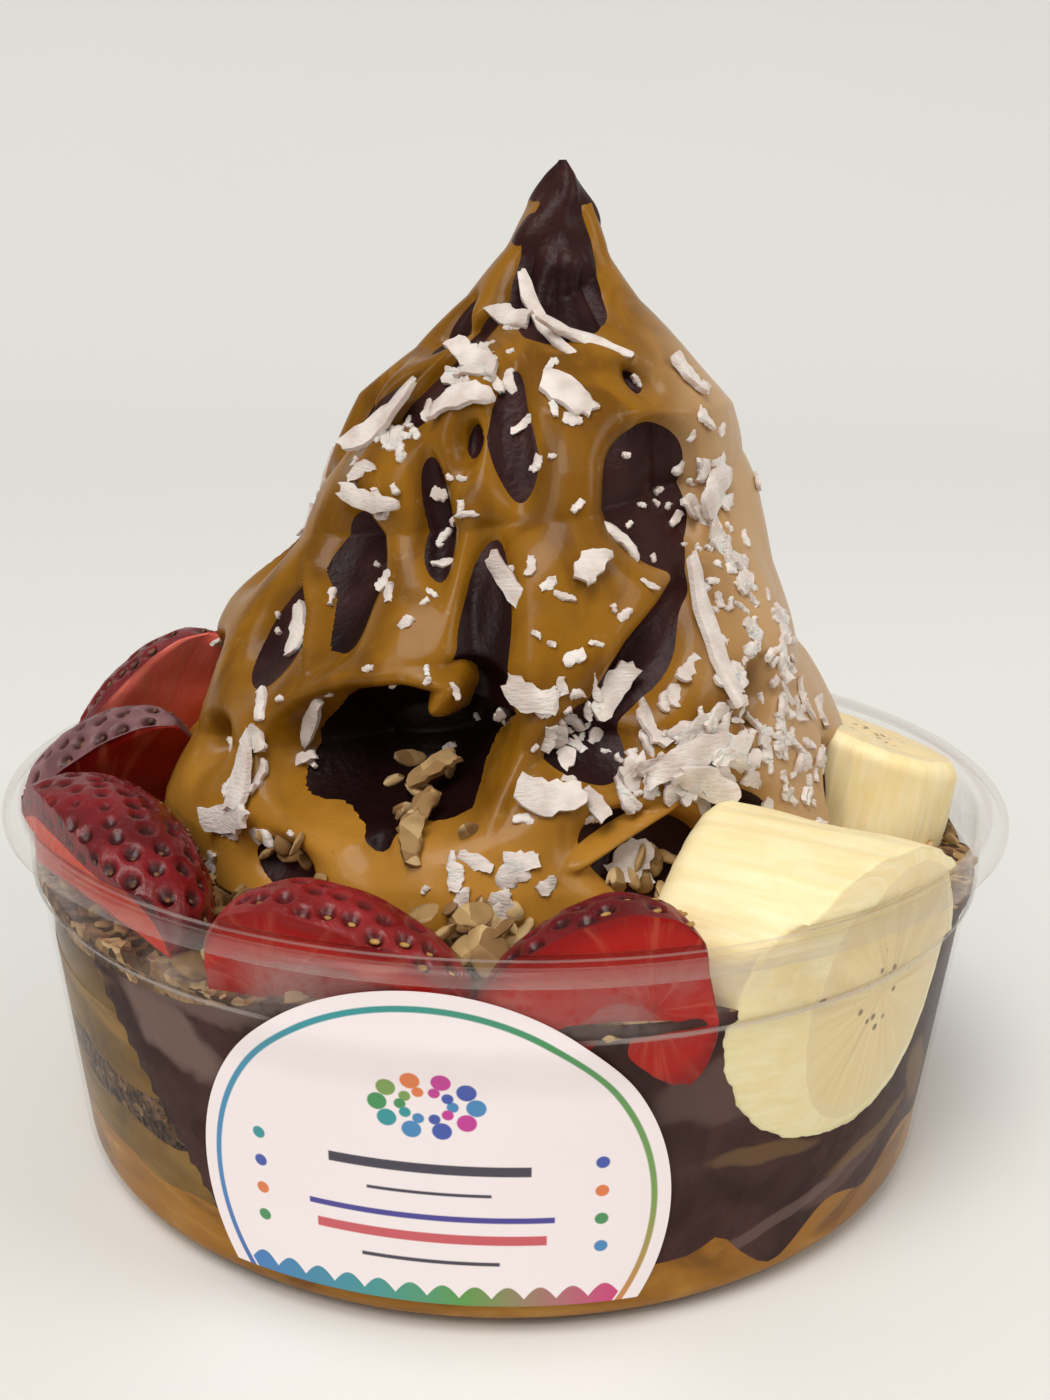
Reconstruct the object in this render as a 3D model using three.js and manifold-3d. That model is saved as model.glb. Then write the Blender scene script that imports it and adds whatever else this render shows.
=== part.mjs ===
// An acai bowl: a clear plastic salad bowl filled with layers of peanut butter and acai, a
// layer of granola, a tall swirl of acai under a thick peanut butter drizzle and coconut
// flakes, and a ring of cut strawberries and banana.
import * as THREE from "three";
import { mergeVertices } from "three/addons/utils/BufferGeometryUtils.js";
import Module from "manifold-3d";

const wasm = await Module();
wasm.setup();

// Driving dimensions of the bowl, in millimetres, with its base at height 0
const SIDES = 48;
const CONTENT_SIDES = 36;
const RIM_RADIUS = 80;
const RIM_TOP = 57.5;
const LIP_BOTTOM = 55;
const LIP_THICKNESS = 0.8;
const NECK_RADIUS = 76.2;
const STEP_HEIGHT = 45.5;
const STEP_DEPTH = 1;
const BASE_RADIUS = 70.5;
const CORNER = 5;
const WALL = 0.8;
const RIM_SOFT = 0.5;
const GAP = 0.3;

// Driving dimensions of the contents
const BASE_LAYER_TOP = 10;
const FILL_TOP = 43.5;
const GRANOLA_TOP = 49.5;
const TIP_HEIGHT = 152;
const TIP_SHIFT = 6.5;
const SWIRL_SIDES = 48;
const SWIRL_ROWS = 28;
const NARROWEST = 0.4;
const WELD = 1e-4;

const { clamp, degToRad, smoothstep, lerp } = THREE.MathUtils;

// Geometry and booleans

function toSolid(geometry) {
  const bare = geometry.clone();
  bare.deleteAttribute("normal");
  bare.deleteAttribute("uv");
  const merged = mergeVertices(bare, WELD);
  return new wasm.Manifold(
    new wasm.Mesh({
      numProp: 3,
      vertProperties: merged.attributes.position.array,
      triVerts: new Uint32Array(merged.index.array),
    }),
  );
}

function toMesh(name, solid, material) {
  const made = solid.getMesh();
  const geometry = new THREE.BufferGeometry();
  geometry.setAttribute("position", new THREE.BufferAttribute(made.vertProperties, 3));
  geometry.setIndex(new THREE.BufferAttribute(made.triVerts, 1));
  geometry.computeVertexNormals();
  const mesh = new THREE.Mesh(geometry, material);
  mesh.name = name;
  return mesh;
}

// The largest of the bodies that a cut leaves
function largest(solid) {
  return solid.decompose().reduce((a, b) => (b.volume() > a.volume() ? b : a));
}

// Moves every point of a geometry by a formula
function bend(geometry, move) {
  const points = geometry.attributes.position;
  const point = new THREE.Vector3();
  for (let i = 0; i < points.count; i++) {
    point.fromBufferAttribute(points, i);
    move(point);
    points.setXYZ(i, point.x, point.y, point.z);
  }
  return geometry;
}

// A shape turned about the upright axis, from [radius, height] pairs that start and end on it
function turned(profile, sides) {
  const points = profile.map(([radius, height]) => new THREE.Vector2(radius, height));
  return new THREE.LatheGeometry(points, sides).rotateX(Math.PI / 2);
}

// All that lies under a wavy surface, wide enough to cut right across the bowl
const BLOCK_WIDTH = 156;
const BLOCK_CELLS = 7;

function under(surface) {
  const box = new THREE.BoxGeometry(BLOCK_WIDTH, BLOCK_WIDTH, 1, BLOCK_CELLS, BLOCK_CELLS, 1);
  return toSolid(
    bend(box, (point) => {
      point.z = point.z > 0 ? surface(point.x, point.y) : -BLOCK_WIDTH;
    }),
  );
}

function between(low, high) {
  return under(high).subtract(under(low));
}

// Seeded draws, so that each build places the same flakes and granola
const DRAW_RANGE = 2 ** 32;
const DRAW_FACTOR = 1664525;
const DRAW_STEP = 1013904223;
let seed = 20260;

function draw(low, high) {
  seed = (seed * DRAW_FACTOR + DRAW_STEP) % DRAW_RANGE;
  return lerp(low, high, seed / DRAW_RANGE);
}

// The bowl

// An arc of the base corner, seen in section, from the flat base round to the wall
function cornerArc(radius, inset) {
  const steps = [1 / 3, 2 / 3];
  return steps.map((step) => {
    const angle = (step * Math.PI) / 2;
    const along = (radius - inset) * Math.sin(angle);
    return [BASE_RADIUS - radius + along, radius - (radius - inset) * Math.cos(angle)];
  });
}

const stepRadius = NECK_RADIUS - STEP_DEPTH;

// The outer face of the wall at a height between the corner and the step
function wallRadius(height) {
  const share = (height - CORNER) / (STEP_HEIGHT - CORNER);
  return lerp(BASE_RADIUS, stepRadius, share);
}

function bowl() {
  const flange = RIM_TOP - LIP_THICKNESS;
  const outside = [
    [0, 0],
    [BASE_RADIUS - CORNER, 0],
    ...cornerArc(CORNER, 0),
    [BASE_RADIUS, CORNER],
    [stepRadius, STEP_HEIGHT],
    [NECK_RADIUS, STEP_HEIGHT + STEP_DEPTH],
    [NECK_RADIUS, flange],
    [RIM_RADIUS - LIP_THICKNESS, flange],
    [RIM_RADIUS - LIP_THICKNESS, LIP_BOTTOM],
    [RIM_RADIUS, LIP_BOTTOM],
    [RIM_RADIUS, flange],
  ];
  const inside = [
    [RIM_RADIUS - LIP_THICKNESS, RIM_TOP],
    [NECK_RADIUS - WALL + RIM_SOFT, RIM_TOP],
    [NECK_RADIUS - WALL, RIM_TOP - RIM_SOFT],
    [NECK_RADIUS - WALL, STEP_HEIGHT + STEP_DEPTH],
    [stepRadius - WALL, STEP_HEIGHT],
    [BASE_RADIUS - WALL, CORNER],
    ...cornerArc(CORNER, WALL).reverse(),
    [BASE_RADIUS - CORNER, WALL],
    [0, WALL],
  ];
  return toSolid(turned([...outside, ...inside], SIDES));
}

// The room inside the bowl, less a small gap, and the air over the rim that toppings lean into
const INSIDE_RIM_EDGE = 2;

function room() {
  const inset = WALL + GAP;
  const lean = RIM_RADIUS - INSIDE_RIM_EDGE;
  return toSolid(
    turned(
      [
        [0, inset],
        [BASE_RADIUS - CORNER, inset],
        ...cornerArc(CORNER, inset),
        [BASE_RADIUS - inset, CORNER],
        [stepRadius - inset, STEP_HEIGHT],
        [NECK_RADIUS - inset, STEP_HEIGHT + STEP_DEPTH],
        [NECK_RADIUS - inset, RIM_TOP + GAP],
        [lean, RIM_TOP + 2 * GAP],
        [lean, TIP_HEIGHT],
        [0, TIP_HEIGHT],
      ],
      CONTENT_SIDES,
    ),
  );
}

// The round label, a thin disc bent onto the wall and cut off level at the base corner

const LABEL_RADIUS = 31.75;
const LABEL_AZIMUTH = -97;
const LABEL_HEIGHT = 21;
const LABEL_FOOT = CORNER + 0.5;
const LABEL_THICKNESS = 0.2;
const LABEL_SIDES = 28;
const LABEL_RINGS = 5;
const LABEL_CLEAR = 0.3;
const LABEL_BRIDGE = 9;

// The wall as the label meets it: it bridges the corner under the step
function labelledRadius(height) {
  const onStep = smoothstep(height, STEP_HEIGHT + STEP_DEPTH - LABEL_BRIDGE, STEP_HEIGHT);
  return wallRadius(Math.min(height, STEP_HEIGHT)) + onStep * STEP_DEPTH;
}

function label() {
  const rings = Array.from({ length: LABEL_RINGS + 1 }, (_, i) => (i * LABEL_RADIUS) / LABEL_RINGS);
  const back = rings.map((radius) => [radius, 0]);
  const front = rings.map((radius) => [radius, LABEL_THICKNESS]).reverse();
  const disc = bend(turned([...back, ...front], LABEL_SIDES), (point) => {
    const height = LABEL_HEIGHT + point.y;
    const radius = labelledRadius(height);
    const angle = degToRad(LABEL_AZIMUTH) + point.x / radius;
    const out = radius + LABEL_CLEAR + point.z;
    point.set(out * Math.cos(angle), out * Math.sin(angle), height);
  });
  const size = 4 * RIM_RADIUS;
  const keep = new THREE.BoxGeometry(size, size, size).translate(0, 0, LABEL_FOOT + size / 2);
  return toSolid(disc).intersect(toSolid(keep));
}

// The layers that show through the wall

// The base layer lies thicker on the left, with waves all over
const BASE_LEFT_RISE = 3;
const BASE_WAVES = 2;

function baseLayerTop(x, y) {
  const left = smoothstep(-x, 10, 60);
  const waves = Math.sin(x / 9 + 1) * Math.sin(y / 13);
  return BASE_LAYER_TOP + BASE_LEFT_RISE * left + BASE_WAVES * waves;
}

// 1 along the front of the wall, where the fruit is pressed into the acai
const FRONT_AZIMUTH = -58;

function nearFront(x, y) {
  const around = degToRad(FRONT_AZIMUTH);
  return smoothstep(x * Math.cos(around) + y * Math.sin(around), 30, 52);
}

// The acai rises past the granola at the front
const FILL_RISE = 5;
const FILL_WAVES = 0.8;

function fillTop(x, y) {
  const waves = Math.sin(x / 15) * Math.cos(y / 19);
  return FILL_TOP + FILL_RISE * nearFront(x, y) + FILL_WAVES * waves;
}

function crumbBandMiddle(x, y) {
  return 22 - y / 20 + Math.sin(y / 9);
}

const CRUMB_BAND = 6;
const SIDE_LAYERS_TOP = 36;

// A tall round post, whose overlap with the bowl is the crescent of layers on its left side
const POST_RADIUS = 70;
const POST_TAPER = 0.86;
const POST_HEIGHT = 120;
const POST_SIDES = 28;
const POST_MIDDLE = [-104, -8, 30];

function leftPost(extra) {
  const radius = POST_RADIUS + extra;
  const post = new THREE.CylinderGeometry(radius, radius * POST_TAPER, POST_HEIGHT, POST_SIDES);
  return toSolid(post.rotateX(Math.PI / 2).translate(...POST_MIDDLE));
}

function flat(height) {
  return () => height;
}

function raised(surface, by) {
  return (x, y) => surface(x, y) + by;
}

// The swirl of acai: radius at a height, read upwards from its foot

const SWIRL_OUTLINE = [
  [46, 57.5],
  [57, 56],
  [68, 52.3],
  [78, 48.4],
  [85, 44.6],
  [93, 39.6],
  [101, 36],
  [109, 33],
  [117, 29.2],
  [124, 21.8],
  [132, 13],
  [139, 8],
  [146, 4.8],
  [150, 2.4],
  [TIP_HEIGHT, 0.7],
];
const SWIRL_FOOT = GRANOLA_TOP + GAP;
const COIL_PITCH = 29;
const COIL_START = 72;
const COIL_START_AZIMUTH = -105;
const COIL_DEPTH = 3;
const COIL_SHARPNESS = 3;
const SHIFT_DONE = 140;
const FLUTES = 12;
const FLUTE_DEPTH = 1.8;
const FLUTE_TWIST = -0.45;
const DRIZZLE_THICKNESS = 2;
const DRIZZLE_EDGE = 4.5;
const EDGE_ROUND = 2.4;
const SOFT_JOIN = 0.8;
const SUNK_CROWN = 1.6;
const HOLLOW_REACH = 1.25;

// Where the swirl is more slender than this radius all its relief shrinks with it
const SLENDER = 20;
const SLENDER_RELIEF = 0.12;

function swirlRadius(height) {
  const after = SWIRL_OUTLINE.findIndex(([level]) => level >= height);
  const index = clamp(after < 0 ? SWIRL_OUTLINE.length - 1 : after, 1, SWIRL_OUTLINE.length - 1);
  const [lowLevel, lowRadius] = SWIRL_OUTLINE[index - 1];
  const [highLevel, highRadius] = SWIRL_OUTLINE[index];
  return lerp(lowRadius, highRadius, clamp((height - lowLevel) / (highLevel - lowLevel), 0, 1));
}

function swirlCentre(height) {
  return TIP_SHIFT * clamp((height - COIL_START) / (SHIFT_DONE - COIL_START), 0, 1);
}

// 1 in the groove between two turns of the coil and 0 on the crown of a turn
function coilGroove(azimuth, height) {
  const turn = (azimuth - COIL_START_AZIMUTH) / 360;
  const phase = (height - COIL_START) / COIL_PITCH - turn;
  const share = phase - Math.floor(phase);
  return Math.pow(Math.abs(2 * share - 1), COIL_SHARPNESS);
}

// 1 in the valley between two flutes that the star-shaped nozzle leaves and 0 on a ridge
function fluteValley(azimuth, height) {
  const phase = ((azimuth - FLUTE_TWIST * (height - 100)) * FLUTES) / 360;
  return 1 - Math.abs(Math.cos(Math.PI * phase));
}

// Bare places in the drizzle, where the acai shows: azimuth and height of the middle, half
// width, half height, lean in degrees, and how deep the acai lies there
const BARE_PLACES = [
  [-86, 138.5, 7, 12, 0, 0.5],
  [-90, 153, 9, 6.5, 0, 0.3],
  [-132, 121, 4.4, 9, 20, 1.5],
  [-148, 116, 3.4, 5, 0, 1.5],
  [-109, 112.7, 1.5, 2.8, 12, 1.5],
  [-98, 113.6, 3, 9.6, 18, 1.2],
  [-58, 106, 8.3, 9.8, -9, 1.2],
  [-114, 101.9, 2.1, 10.4, 22, 1.5],
  [-97, 90.6, 4.2, 9.4, 4, 1.5],
  [-110, 71.6, 19.4, 9, 5, 13],
  [-98, 79.5, 6, 5.5, 0, 5],
  [-64, 85.2, 3.6, 11.4, -46, 2],
  [-77, 73.8, 6.8, 4.2, -17, 2],
  [-68, 59.6, 10.5, 6, -18, 3],
  [-49, 63.1, 6.1, 2.6, -30, 2],
  [-43, 78, 2.2, 5.2, -20, 1.5],
  [-134, 92.8, 5.2, 11.2, 36, 2],
  [-144, 83.6, 5.4, 7, 36, 2],
  [-146, 68.3, 3.4, 2.4, 40, 1.5],
  [-124, 55.8, 5.4, 3, -5, 2],
  [-109, 63, 2.1, 3.8, 24, 2],
  [-54, 120.3, 1.9, 1.5, -30, 2],
  [-160, 128, 3, 5, 10, 1.5],
  [-166, 115, 4.5, 6, 15, 2],
  [-172, 95, 5, 8, 20, 2.5],
  [-166, 74, 6, 6, 20, 2.5],
];

// The far side has the same kinds of places, spread by the golden angle
const FAR_PLACES = 15;
const GOLDEN_ANGLE = 137.5;
for (let i = 0; i < FAR_PLACES; i++) {
  const azimuth = -20 + ((i * GOLDEN_ANGLE) % 210);
  const height = 60 + (62 * i) / (FAR_PLACES - 1);
  BARE_PLACES.push([azimuth, height, 5.2 - (i % 3), 7 + (i % 2), 24 * Math.sin(i * 2), 1 + (i % 3)]);
}

function turnedBy(azimuth, from) {
  return ((((azimuth - from + 180) % 360) + 360) % 360) - 180;
}

// How far a point of the swirl lies outside one bare place, in millimetres, and its share of
// the way from the middle to the edge
function outsideOf(place, azimuth, height) {
  const [middle, level, halfWidth, halfHeight, lean] = place;
  const across = degToRad(turnedBy(azimuth, middle)) * swirlRadius(level);
  const up = height - level;
  const [sin, cos] = [Math.sin(degToRad(lean)), Math.cos(degToRad(lean))];
  const share = Math.hypot(
    (across * cos + up * sin) / halfWidth,
    (up * cos - across * sin) / halfHeight,
  );
  return { distance: (share - 1) * Math.min(halfWidth, halfHeight), share };
}

// Low waves over the whole swirl, in millimetres
function slowWaves(around, height) {
  return 0.8 * Math.sin(3 * around + height / 8) + 0.6 * Math.sin(5 * around - height / 6);
}

// The outer surface of the swirl and its drizzle: radius from the swirl's own centre. The
// drizzle lies thick on the coil and falls with a round edge to the acai in each bare place.
function swirlSurface(azimuth, height) {
  const outline = swirlRadius(height);
  const soft = clamp(outline / SLENDER, SLENDER_RELIEF, 1);
  const groove = coilGroove(azimuth, height);
  const around = degToRad(azimuth);
  const waves = slowWaves(around, height);
  let hollow = 0;
  let covered = 0;
  for (const place of BARE_PLACES) {
    const { distance, share } = outsideOf(place, azimuth, height);
    covered += Math.exp(-distance / SOFT_JOIN);
    hollow = Math.max(hollow, place[5] * clamp(HOLLOW_REACH - share * share, 0, 1));
  }
  const margin = -SOFT_JOIN * Math.log(covered + 1e-9) + 0.5 * waves;
  const bare = COIL_DEPTH * groove + FLUTE_DEPTH * fluteValley(azimuth, height) + hollow;
  const crown = SUNK_CROWN * groove;
  const fall = Math.pow(1 - clamp(margin / DRIZZLE_EDGE, 0, 1), EDGE_ROUND);
  const depth = crown + (DRIZZLE_THICKNESS + bare - crown) * fall;
  return Math.max(NARROWEST, outline - soft * (depth - waves));
}

function swirlPoint(azimuth, height, lift = 0) {
  const radius = swirlSurface(azimuth, height) + lift;
  const around = degToRad(azimuth);
  const x = swirlCentre(height) + radius * Math.cos(around);
  return new THREE.Vector3(x, radius * Math.sin(around), height);
}

function swirl() {
  const top = TIP_HEIGHT - SWIRL_FOOT;
  const levels = Array.from({ length: SWIRL_ROWS }, (_, i) => SWIRL_FOOT + (top * i) / SWIRL_ROWS);
  const rows = levels.map((height) => [swirlRadius(height), height]);
  const shape = turned([[0, SWIRL_FOOT], ...rows, [0, TIP_HEIGHT]], SWIRL_SIDES);
  return toSolid(
    bend(shape, (point) => {
      if (Math.hypot(point.x, point.y) < WELD) {
        point.x = swirlCentre(point.z);
        return;
      }
      const azimuth = THREE.MathUtils.radToDeg(Math.atan2(point.y, point.x));
      point.copy(swirlPoint(azimuth, point.z));
    }),
  );
}

// Coconut flakes, thin bent strips that lie on the swirl

// The large ones that show: azimuth, height, length, width and turn from the level
const FLAKES = [
  [-97, 129, 19, 2.4, -57],
  [-72, 127, 15, 2.2, -26],
  [-83, 119.5, 9, 5, -38],
  [-125, 130, 10, 3.4, -20],
  [-118, 124, 11, 4, -30],
  [-137, 115, 14, 4.5, 50],
  [-114, 119, 10, 4, 27],
  [-131, 104, 12, 3.6, -5],
  [-141, 85, 9, 5, -60],
  [-92, 94, 12, 3.4, -54],
  [-69, 101, 9, 2, -44],
  [-77, 98, 6, 4.5, 45],
  [-42, 108, 11, 5, 40],
  [-52, 88, 24, 3.4, -95],
  [-37, 122, 7, 3, -60],
  [-87, 81, 8, 4.5, -23],
  [-71, 81, 9, 4.5, 49],
  [-60, 73, 16, 5, 12],
  [-58, 69, 12, 4.5, -25],
  [-83, 69, 9, 5.5, -10],
  [-70, 59, 7, 5, 35],
  [-134, 68, 12, 4, -70],
  [-129, 74, 11, 3.4, 60],
  [-134, 61, 11, 4.5, 15],
];
const FLAKE_THICKNESS = 1.1;
const FLAKE_CURL = 1.6;
const LONG_FLAKE = 11;
const SCATTERED_FLAKES = 4;

function flake([azimuth, height, length, width, turn]) {
  const parts = length > LONG_FLAKE ? 2 : 1;
  const strip = new THREE.BoxGeometry(length, width, FLAKE_THICKNESS, parts, 1, 1);
  bend(strip, (point) => {
    const end = (2 * Math.abs(point.x)) / length;
    point.y *= 1 - 0.3 * end;
    point.z += parts > 1 ? FLAKE_CURL * (end * end - 0.3) : 0;
  });
  const step = 3;
  const slope = (swirlRadius(height + step) - swirlRadius(height - step)) / (2 * step);
  const around = degToRad(azimuth);
  const east = new THREE.Vector3(-Math.sin(around), Math.cos(around), 0);
  const out = new THREE.Vector3(Math.cos(around), Math.sin(around), -slope).normalize();
  const up = new THREE.Vector3().crossVectors(out, east);
  const place = new THREE.Matrix4().makeBasis(east, up, out);
  place.setPosition(swirlPoint(azimuth, height));
  return toSolid(strip.rotateZ(degToRad(turn)).applyMatrix4(place));
}

// Granola: a layer with an uneven rim, and clusters fused on where no fruit lies

const CLUSTERS = 14;
const CLUSTER_RING = [61.5, 70.5];
const CLUSTER_SIZES = [2, 3.4];

function granolaTop(x, y) {
  const rim = smoothstep(Math.hypot(x, y), 60, 74);
  return GRANOLA_TOP - rim * (1.2 + 2.5 * nearFront(x, y) + Math.sin(x / 5) * Math.cos(y / 7));
}

function cluster(index) {
  const azimuth = (index * GOLDEN_ANGLE) % 360;
  const size = draw(...CLUSTER_SIZES);
  const radius = draw(...CLUSTER_RING);
  const around = degToRad(azimuth);
  const stone = new THREE.IcosahedronGeometry(size, 0);
  stone.rotateX(draw(0, 3)).rotateY(draw(0, 3)).scale(1.5, 1, 0.8).rotateZ(around + draw(-1, 1));
  stone.translate(radius * Math.cos(around), radius * Math.sin(around), GRANOLA_TOP + 0.3);
  return toSolid(stone);
}

// Fruit

// A pose is a place and three turns in degrees: about the fruit's own length, nose down, and
// about the upright
function posed(geometry, { at, roll, pitch, yaw }) {
  const turns = new THREE.Euler(degToRad(roll), degToRad(pitch), degToRad(yaw), "ZYX");
  return geometry.applyMatrix4(new THREE.Matrix4().makeRotationFromEuler(turns)).translate(...at);
}

// Half a strawberry along X, from the stem end to the tip, with its cut face down; grown is
// the extra size of the pocket that it lies in
const BERRY_SIDES = 14;

function strawberry(pose, grown = 0) {
  const shares = [
    [0, 0.02],
    [0.45, 0.0],
    [0.8, 0.09],
    [0.99, 0.28],
    [0.92, 0.52],
    [0.7, 0.76],
    [0.38, 0.93],
    [0, 1],
  ];
  const long = pose.length + 2 * grown;
  const half = pose.width / 2 + grown;
  const profile = shares.map(([out, along]) => [out * half, (along - 0.5) * long]);
  const whole = turned(profile, BERRY_SIDES).rotateY(Math.PI / 2);
  const keep = new THREE.BoxGeometry(2 * long, 2 * long, long);
  keep.translate(0, 0, long / 2 - grown - pose.spare);
  return toSolid(posed(whole, pose)).intersect(toSolid(posed(keep, pose)));
}

// A thick banana slice along X, oval, with rounded rims
const SLICE_SIDES = 16;
const SLICE_RIM = 2.5;

function banana(pose, grown = 0) {
  const half = pose.thick / 2 + grown;
  const [wide, tall] = [pose.width / 2 + grown, pose.height / 2 + grown];
  const profile = [
    [0, -half],
    [1 - SLICE_RIM / wide, -half],
    [1, -half + SLICE_RIM],
    [1, half - SLICE_RIM],
    [1 - SLICE_RIM / wide, half],
    [0, half],
  ];
  const slice = turned(profile, SLICE_SIDES).rotateY(Math.PI / 2).scale(1, wide, tall);
  bend(slice, (point) => {
    point.x += point.z * pose.oblique;
  });
  return toSolid(posed(slice, pose));
}

const FRUIT = [
  {
    name: "strawberry_front_left", make: strawberry, length: 37, width: 28, spare: 1,
    at: [-19, -69.5, 47.9], roll: -72, pitch: 3, yaw: -17,
  },
  {
    name: "strawberry_front_right", make: strawberry, length: 32, width: 29, spare: 1,
    at: [11, -73, 48.2], roll: 80, pitch: 12, yaw: 189,
  },
  {
    name: "strawberry_left", make: strawberry, length: 44, width: 31, spare: 2,
    at: [-54, -45.5, 51.5], roll: -48, pitch: -3, yaw: -52,
  },
  {
    name: "strawberry_left_dark", make: strawberry, length: 31, width: 25, spare: 1,
    at: [-59.5, -17, 57.5], roll: -40, pitch: -50, yaw: -20,
  },
  {
    name: "strawberry_left_back", make: strawberry, length: 36, width: 28, spare: 0,
    at: [-57, 4, 62], roll: -45, pitch: -62, yaw: -10,
  },
  {
    name: "banana_front", make: banana, thick: 36, width: 41, height: 42, oblique: 0.1,
    at: [40.3, -52, 44.6], roll: 0, pitch: 4, yaw: -24,
  },
  {
    name: "banana_right", make: banana, thick: 29, width: 28, height: 28, oblique: 0.12,
    at: [57, -6, 50.5], roll: 0, pitch: -80, yaw: 15,
  },
  {
    name: "banana_right_back", make: banana, thick: 13, width: 30, height: 31, oblique: 0.2,
    at: [52, 33, 50], roll: 0, pitch: -62, yaw: 34,
  },
  {
    name: "banana_back", make: banana, thick: 14, width: 31, height: 30, oblique: -0.2,
    at: [33, 55, 53], roll: 0, pitch: -28, yaw: 62,
  },
  {
    name: "strawberry_back", make: strawberry, length: 36, width: 28, spare: 1,
    at: [-6, 63, 52], roll: -50, pitch: 8, yaw: 178,
  },
  {
    name: "strawberry_back_left", make: strawberry, length: 38, width: 29, spare: 1,
    at: [-44, 44, 54], roll: -55, pitch: -6, yaw: 226,
  },
];

// The pieces put together

const space = room();
const fruit = [];
let pockets = null;
for (const pose of FRUIT) {
  const clear = pockets ? pose.make(pose).subtract(pockets) : pose.make(pose);
  const pocket = pose.make(pose, GAP + 0.05);
  fruit.push({ name: pose.name, solid: largest(clear.intersect(space)) });
  pockets = pockets ? pockets.add(pocket) : pocket;
}

const sideLayers = space.intersect(leftPost(0));
const crumbLow = raised(crumbBandMiddle, -CRUMB_BAND / 2);
const crumbHigh = raised(crumbBandMiddle, CRUMB_BAND / 2);
const overBase = raised(baseLayerTop, GAP);

const baseLayer = space.intersect(under(baseLayerTop));
const sideLow = sideLayers.intersect(between(overBase, raised(crumbLow, -GAP)));
const crumbs = sideLayers.intersect(between(crumbLow, crumbHigh));
const sideHigh = sideLayers.intersect(between(raised(crumbHigh, GAP), flat(SIDE_LAYERS_TOP)));
const sideRoom = leftPost(GAP).intersect(under(flat(SIDE_LAYERS_TOP + GAP)));
const fill = space.intersect(between(overBase, fillTop)).subtract(sideRoom);

let heap = under(granolaTop);
for (let i = 0; i < CLUSTERS; i++) heap = heap.add(cluster(i));
const granola = heap.intersect(space).subtract(under(raised(fillTop, GAP)));

let topping = swirl();
for (const large of FLAKES) topping = topping.add(flake(large));
for (let i = 0; i < SCATTERED_FLAKES; i++) {
  const azimuth = -40 + ((i * GOLDEN_ANGLE) % 250);
  const small = [azimuth, draw(60, 122), draw(5, 10), draw(2.5, 4), draw(-80, 80)];
  topping = topping.add(flake(small));
}

const plain = (color, roughness) => new THREE.MeshStandardMaterial({ color, roughness, metalness: 0 });
const clearPlastic = plain(0xe8eef0, 0.1);
clearPlastic.transparent = true;
clearPlastic.opacity = 0.3;
const paper = plain(0xeeeaec, 0.5);
const peanutButter = plain(0xb08030, 0.35);
const acai = plain(0x3a2228, 0.45);
const oats = plain(0xb89a70, 0.8);
const drizzled = plain(0xa87838, 0.35);
const berry = plain(0xb01828, 0.3);
const flesh = plain(0xe8d898, 0.5);

const model = new THREE.Group();
model.add(
  toMesh("bowl", bowl(), clearPlastic),
  toMesh("label", label(), paper),
  toMesh("peanut_butter_base", baseLayer, peanutButter),
  toMesh("peanut_butter_side_low", largest(sideLow), peanutButter),
  toMesh("crumb_band", largest(crumbs), oats),
  toMesh("peanut_butter_side_high", largest(sideHigh), peanutButter),
  toMesh("acai_layer", largest(fill.subtract(pockets)), acai),
  toMesh("granola", largest(granola.subtract(pockets)), oats),
  toMesh("acai_swirl", largest(topping.subtract(pockets)), drizzled),
  ...fruit.map(({ name, solid }) =>
    toMesh(name, solid, name.startsWith("banana") ? flesh : berry),
  ),
);

export default model;
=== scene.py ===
# %% [markdown]
# # An acai bowl
# This lesson dresses a packed model of an acai bowl: a clear plastic salad bowl with layers of
# peanut butter, acai and granola, a tall swirl of acai under thick peanut butter drizzle and
# coconut, and a ring of strawberries and banana. Each step says what a piece is on the real
# bowl, how it could be made, and why it is made this way.

# %% [markdown]
# ## The frame
# The packed model is loaded first and stays fixed. It says where each piece goes, so nothing is
# fitted by eye. The dressed model may not grow past it.

# %% Load the frame
import math
import random

import bmesh
import bpy
import numpy as np
from mathutils import Euler, Matrix, Vector


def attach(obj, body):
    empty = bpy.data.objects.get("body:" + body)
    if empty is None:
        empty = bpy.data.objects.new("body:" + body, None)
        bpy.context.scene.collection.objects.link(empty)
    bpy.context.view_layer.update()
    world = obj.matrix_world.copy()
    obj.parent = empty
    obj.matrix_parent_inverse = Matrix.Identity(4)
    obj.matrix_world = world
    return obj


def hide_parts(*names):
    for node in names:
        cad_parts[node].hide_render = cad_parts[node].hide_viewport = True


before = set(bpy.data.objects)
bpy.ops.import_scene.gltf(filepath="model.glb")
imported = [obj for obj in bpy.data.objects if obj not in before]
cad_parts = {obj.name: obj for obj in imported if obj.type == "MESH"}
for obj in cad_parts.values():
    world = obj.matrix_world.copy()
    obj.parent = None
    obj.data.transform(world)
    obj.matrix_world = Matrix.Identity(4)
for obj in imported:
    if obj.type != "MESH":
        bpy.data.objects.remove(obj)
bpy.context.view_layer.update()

MM = 0.001
print("nodes", sorted(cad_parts))

# %% [markdown]
# ## Camera
# A camera can be turned by eye until the picture fits, or worked out once from the rim and the
# base of the bowl, which are circles of known size. The second way gives a place, a tilt and a
# small roll, and leaves the shift alone. The lens is given for a sensor along the long side.

# %% Camera at the photo's viewing angle
CAMERA_PLACE = Vector((2.6, -238.02, 133.91)) * MM
CAMERA_DOWN = 15.5
CAMERA_ROLL = 1.12
FOCAL_PIXELS = 1500
LONG_SIDE_PIXELS = 1400
SENSOR = 36

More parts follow.
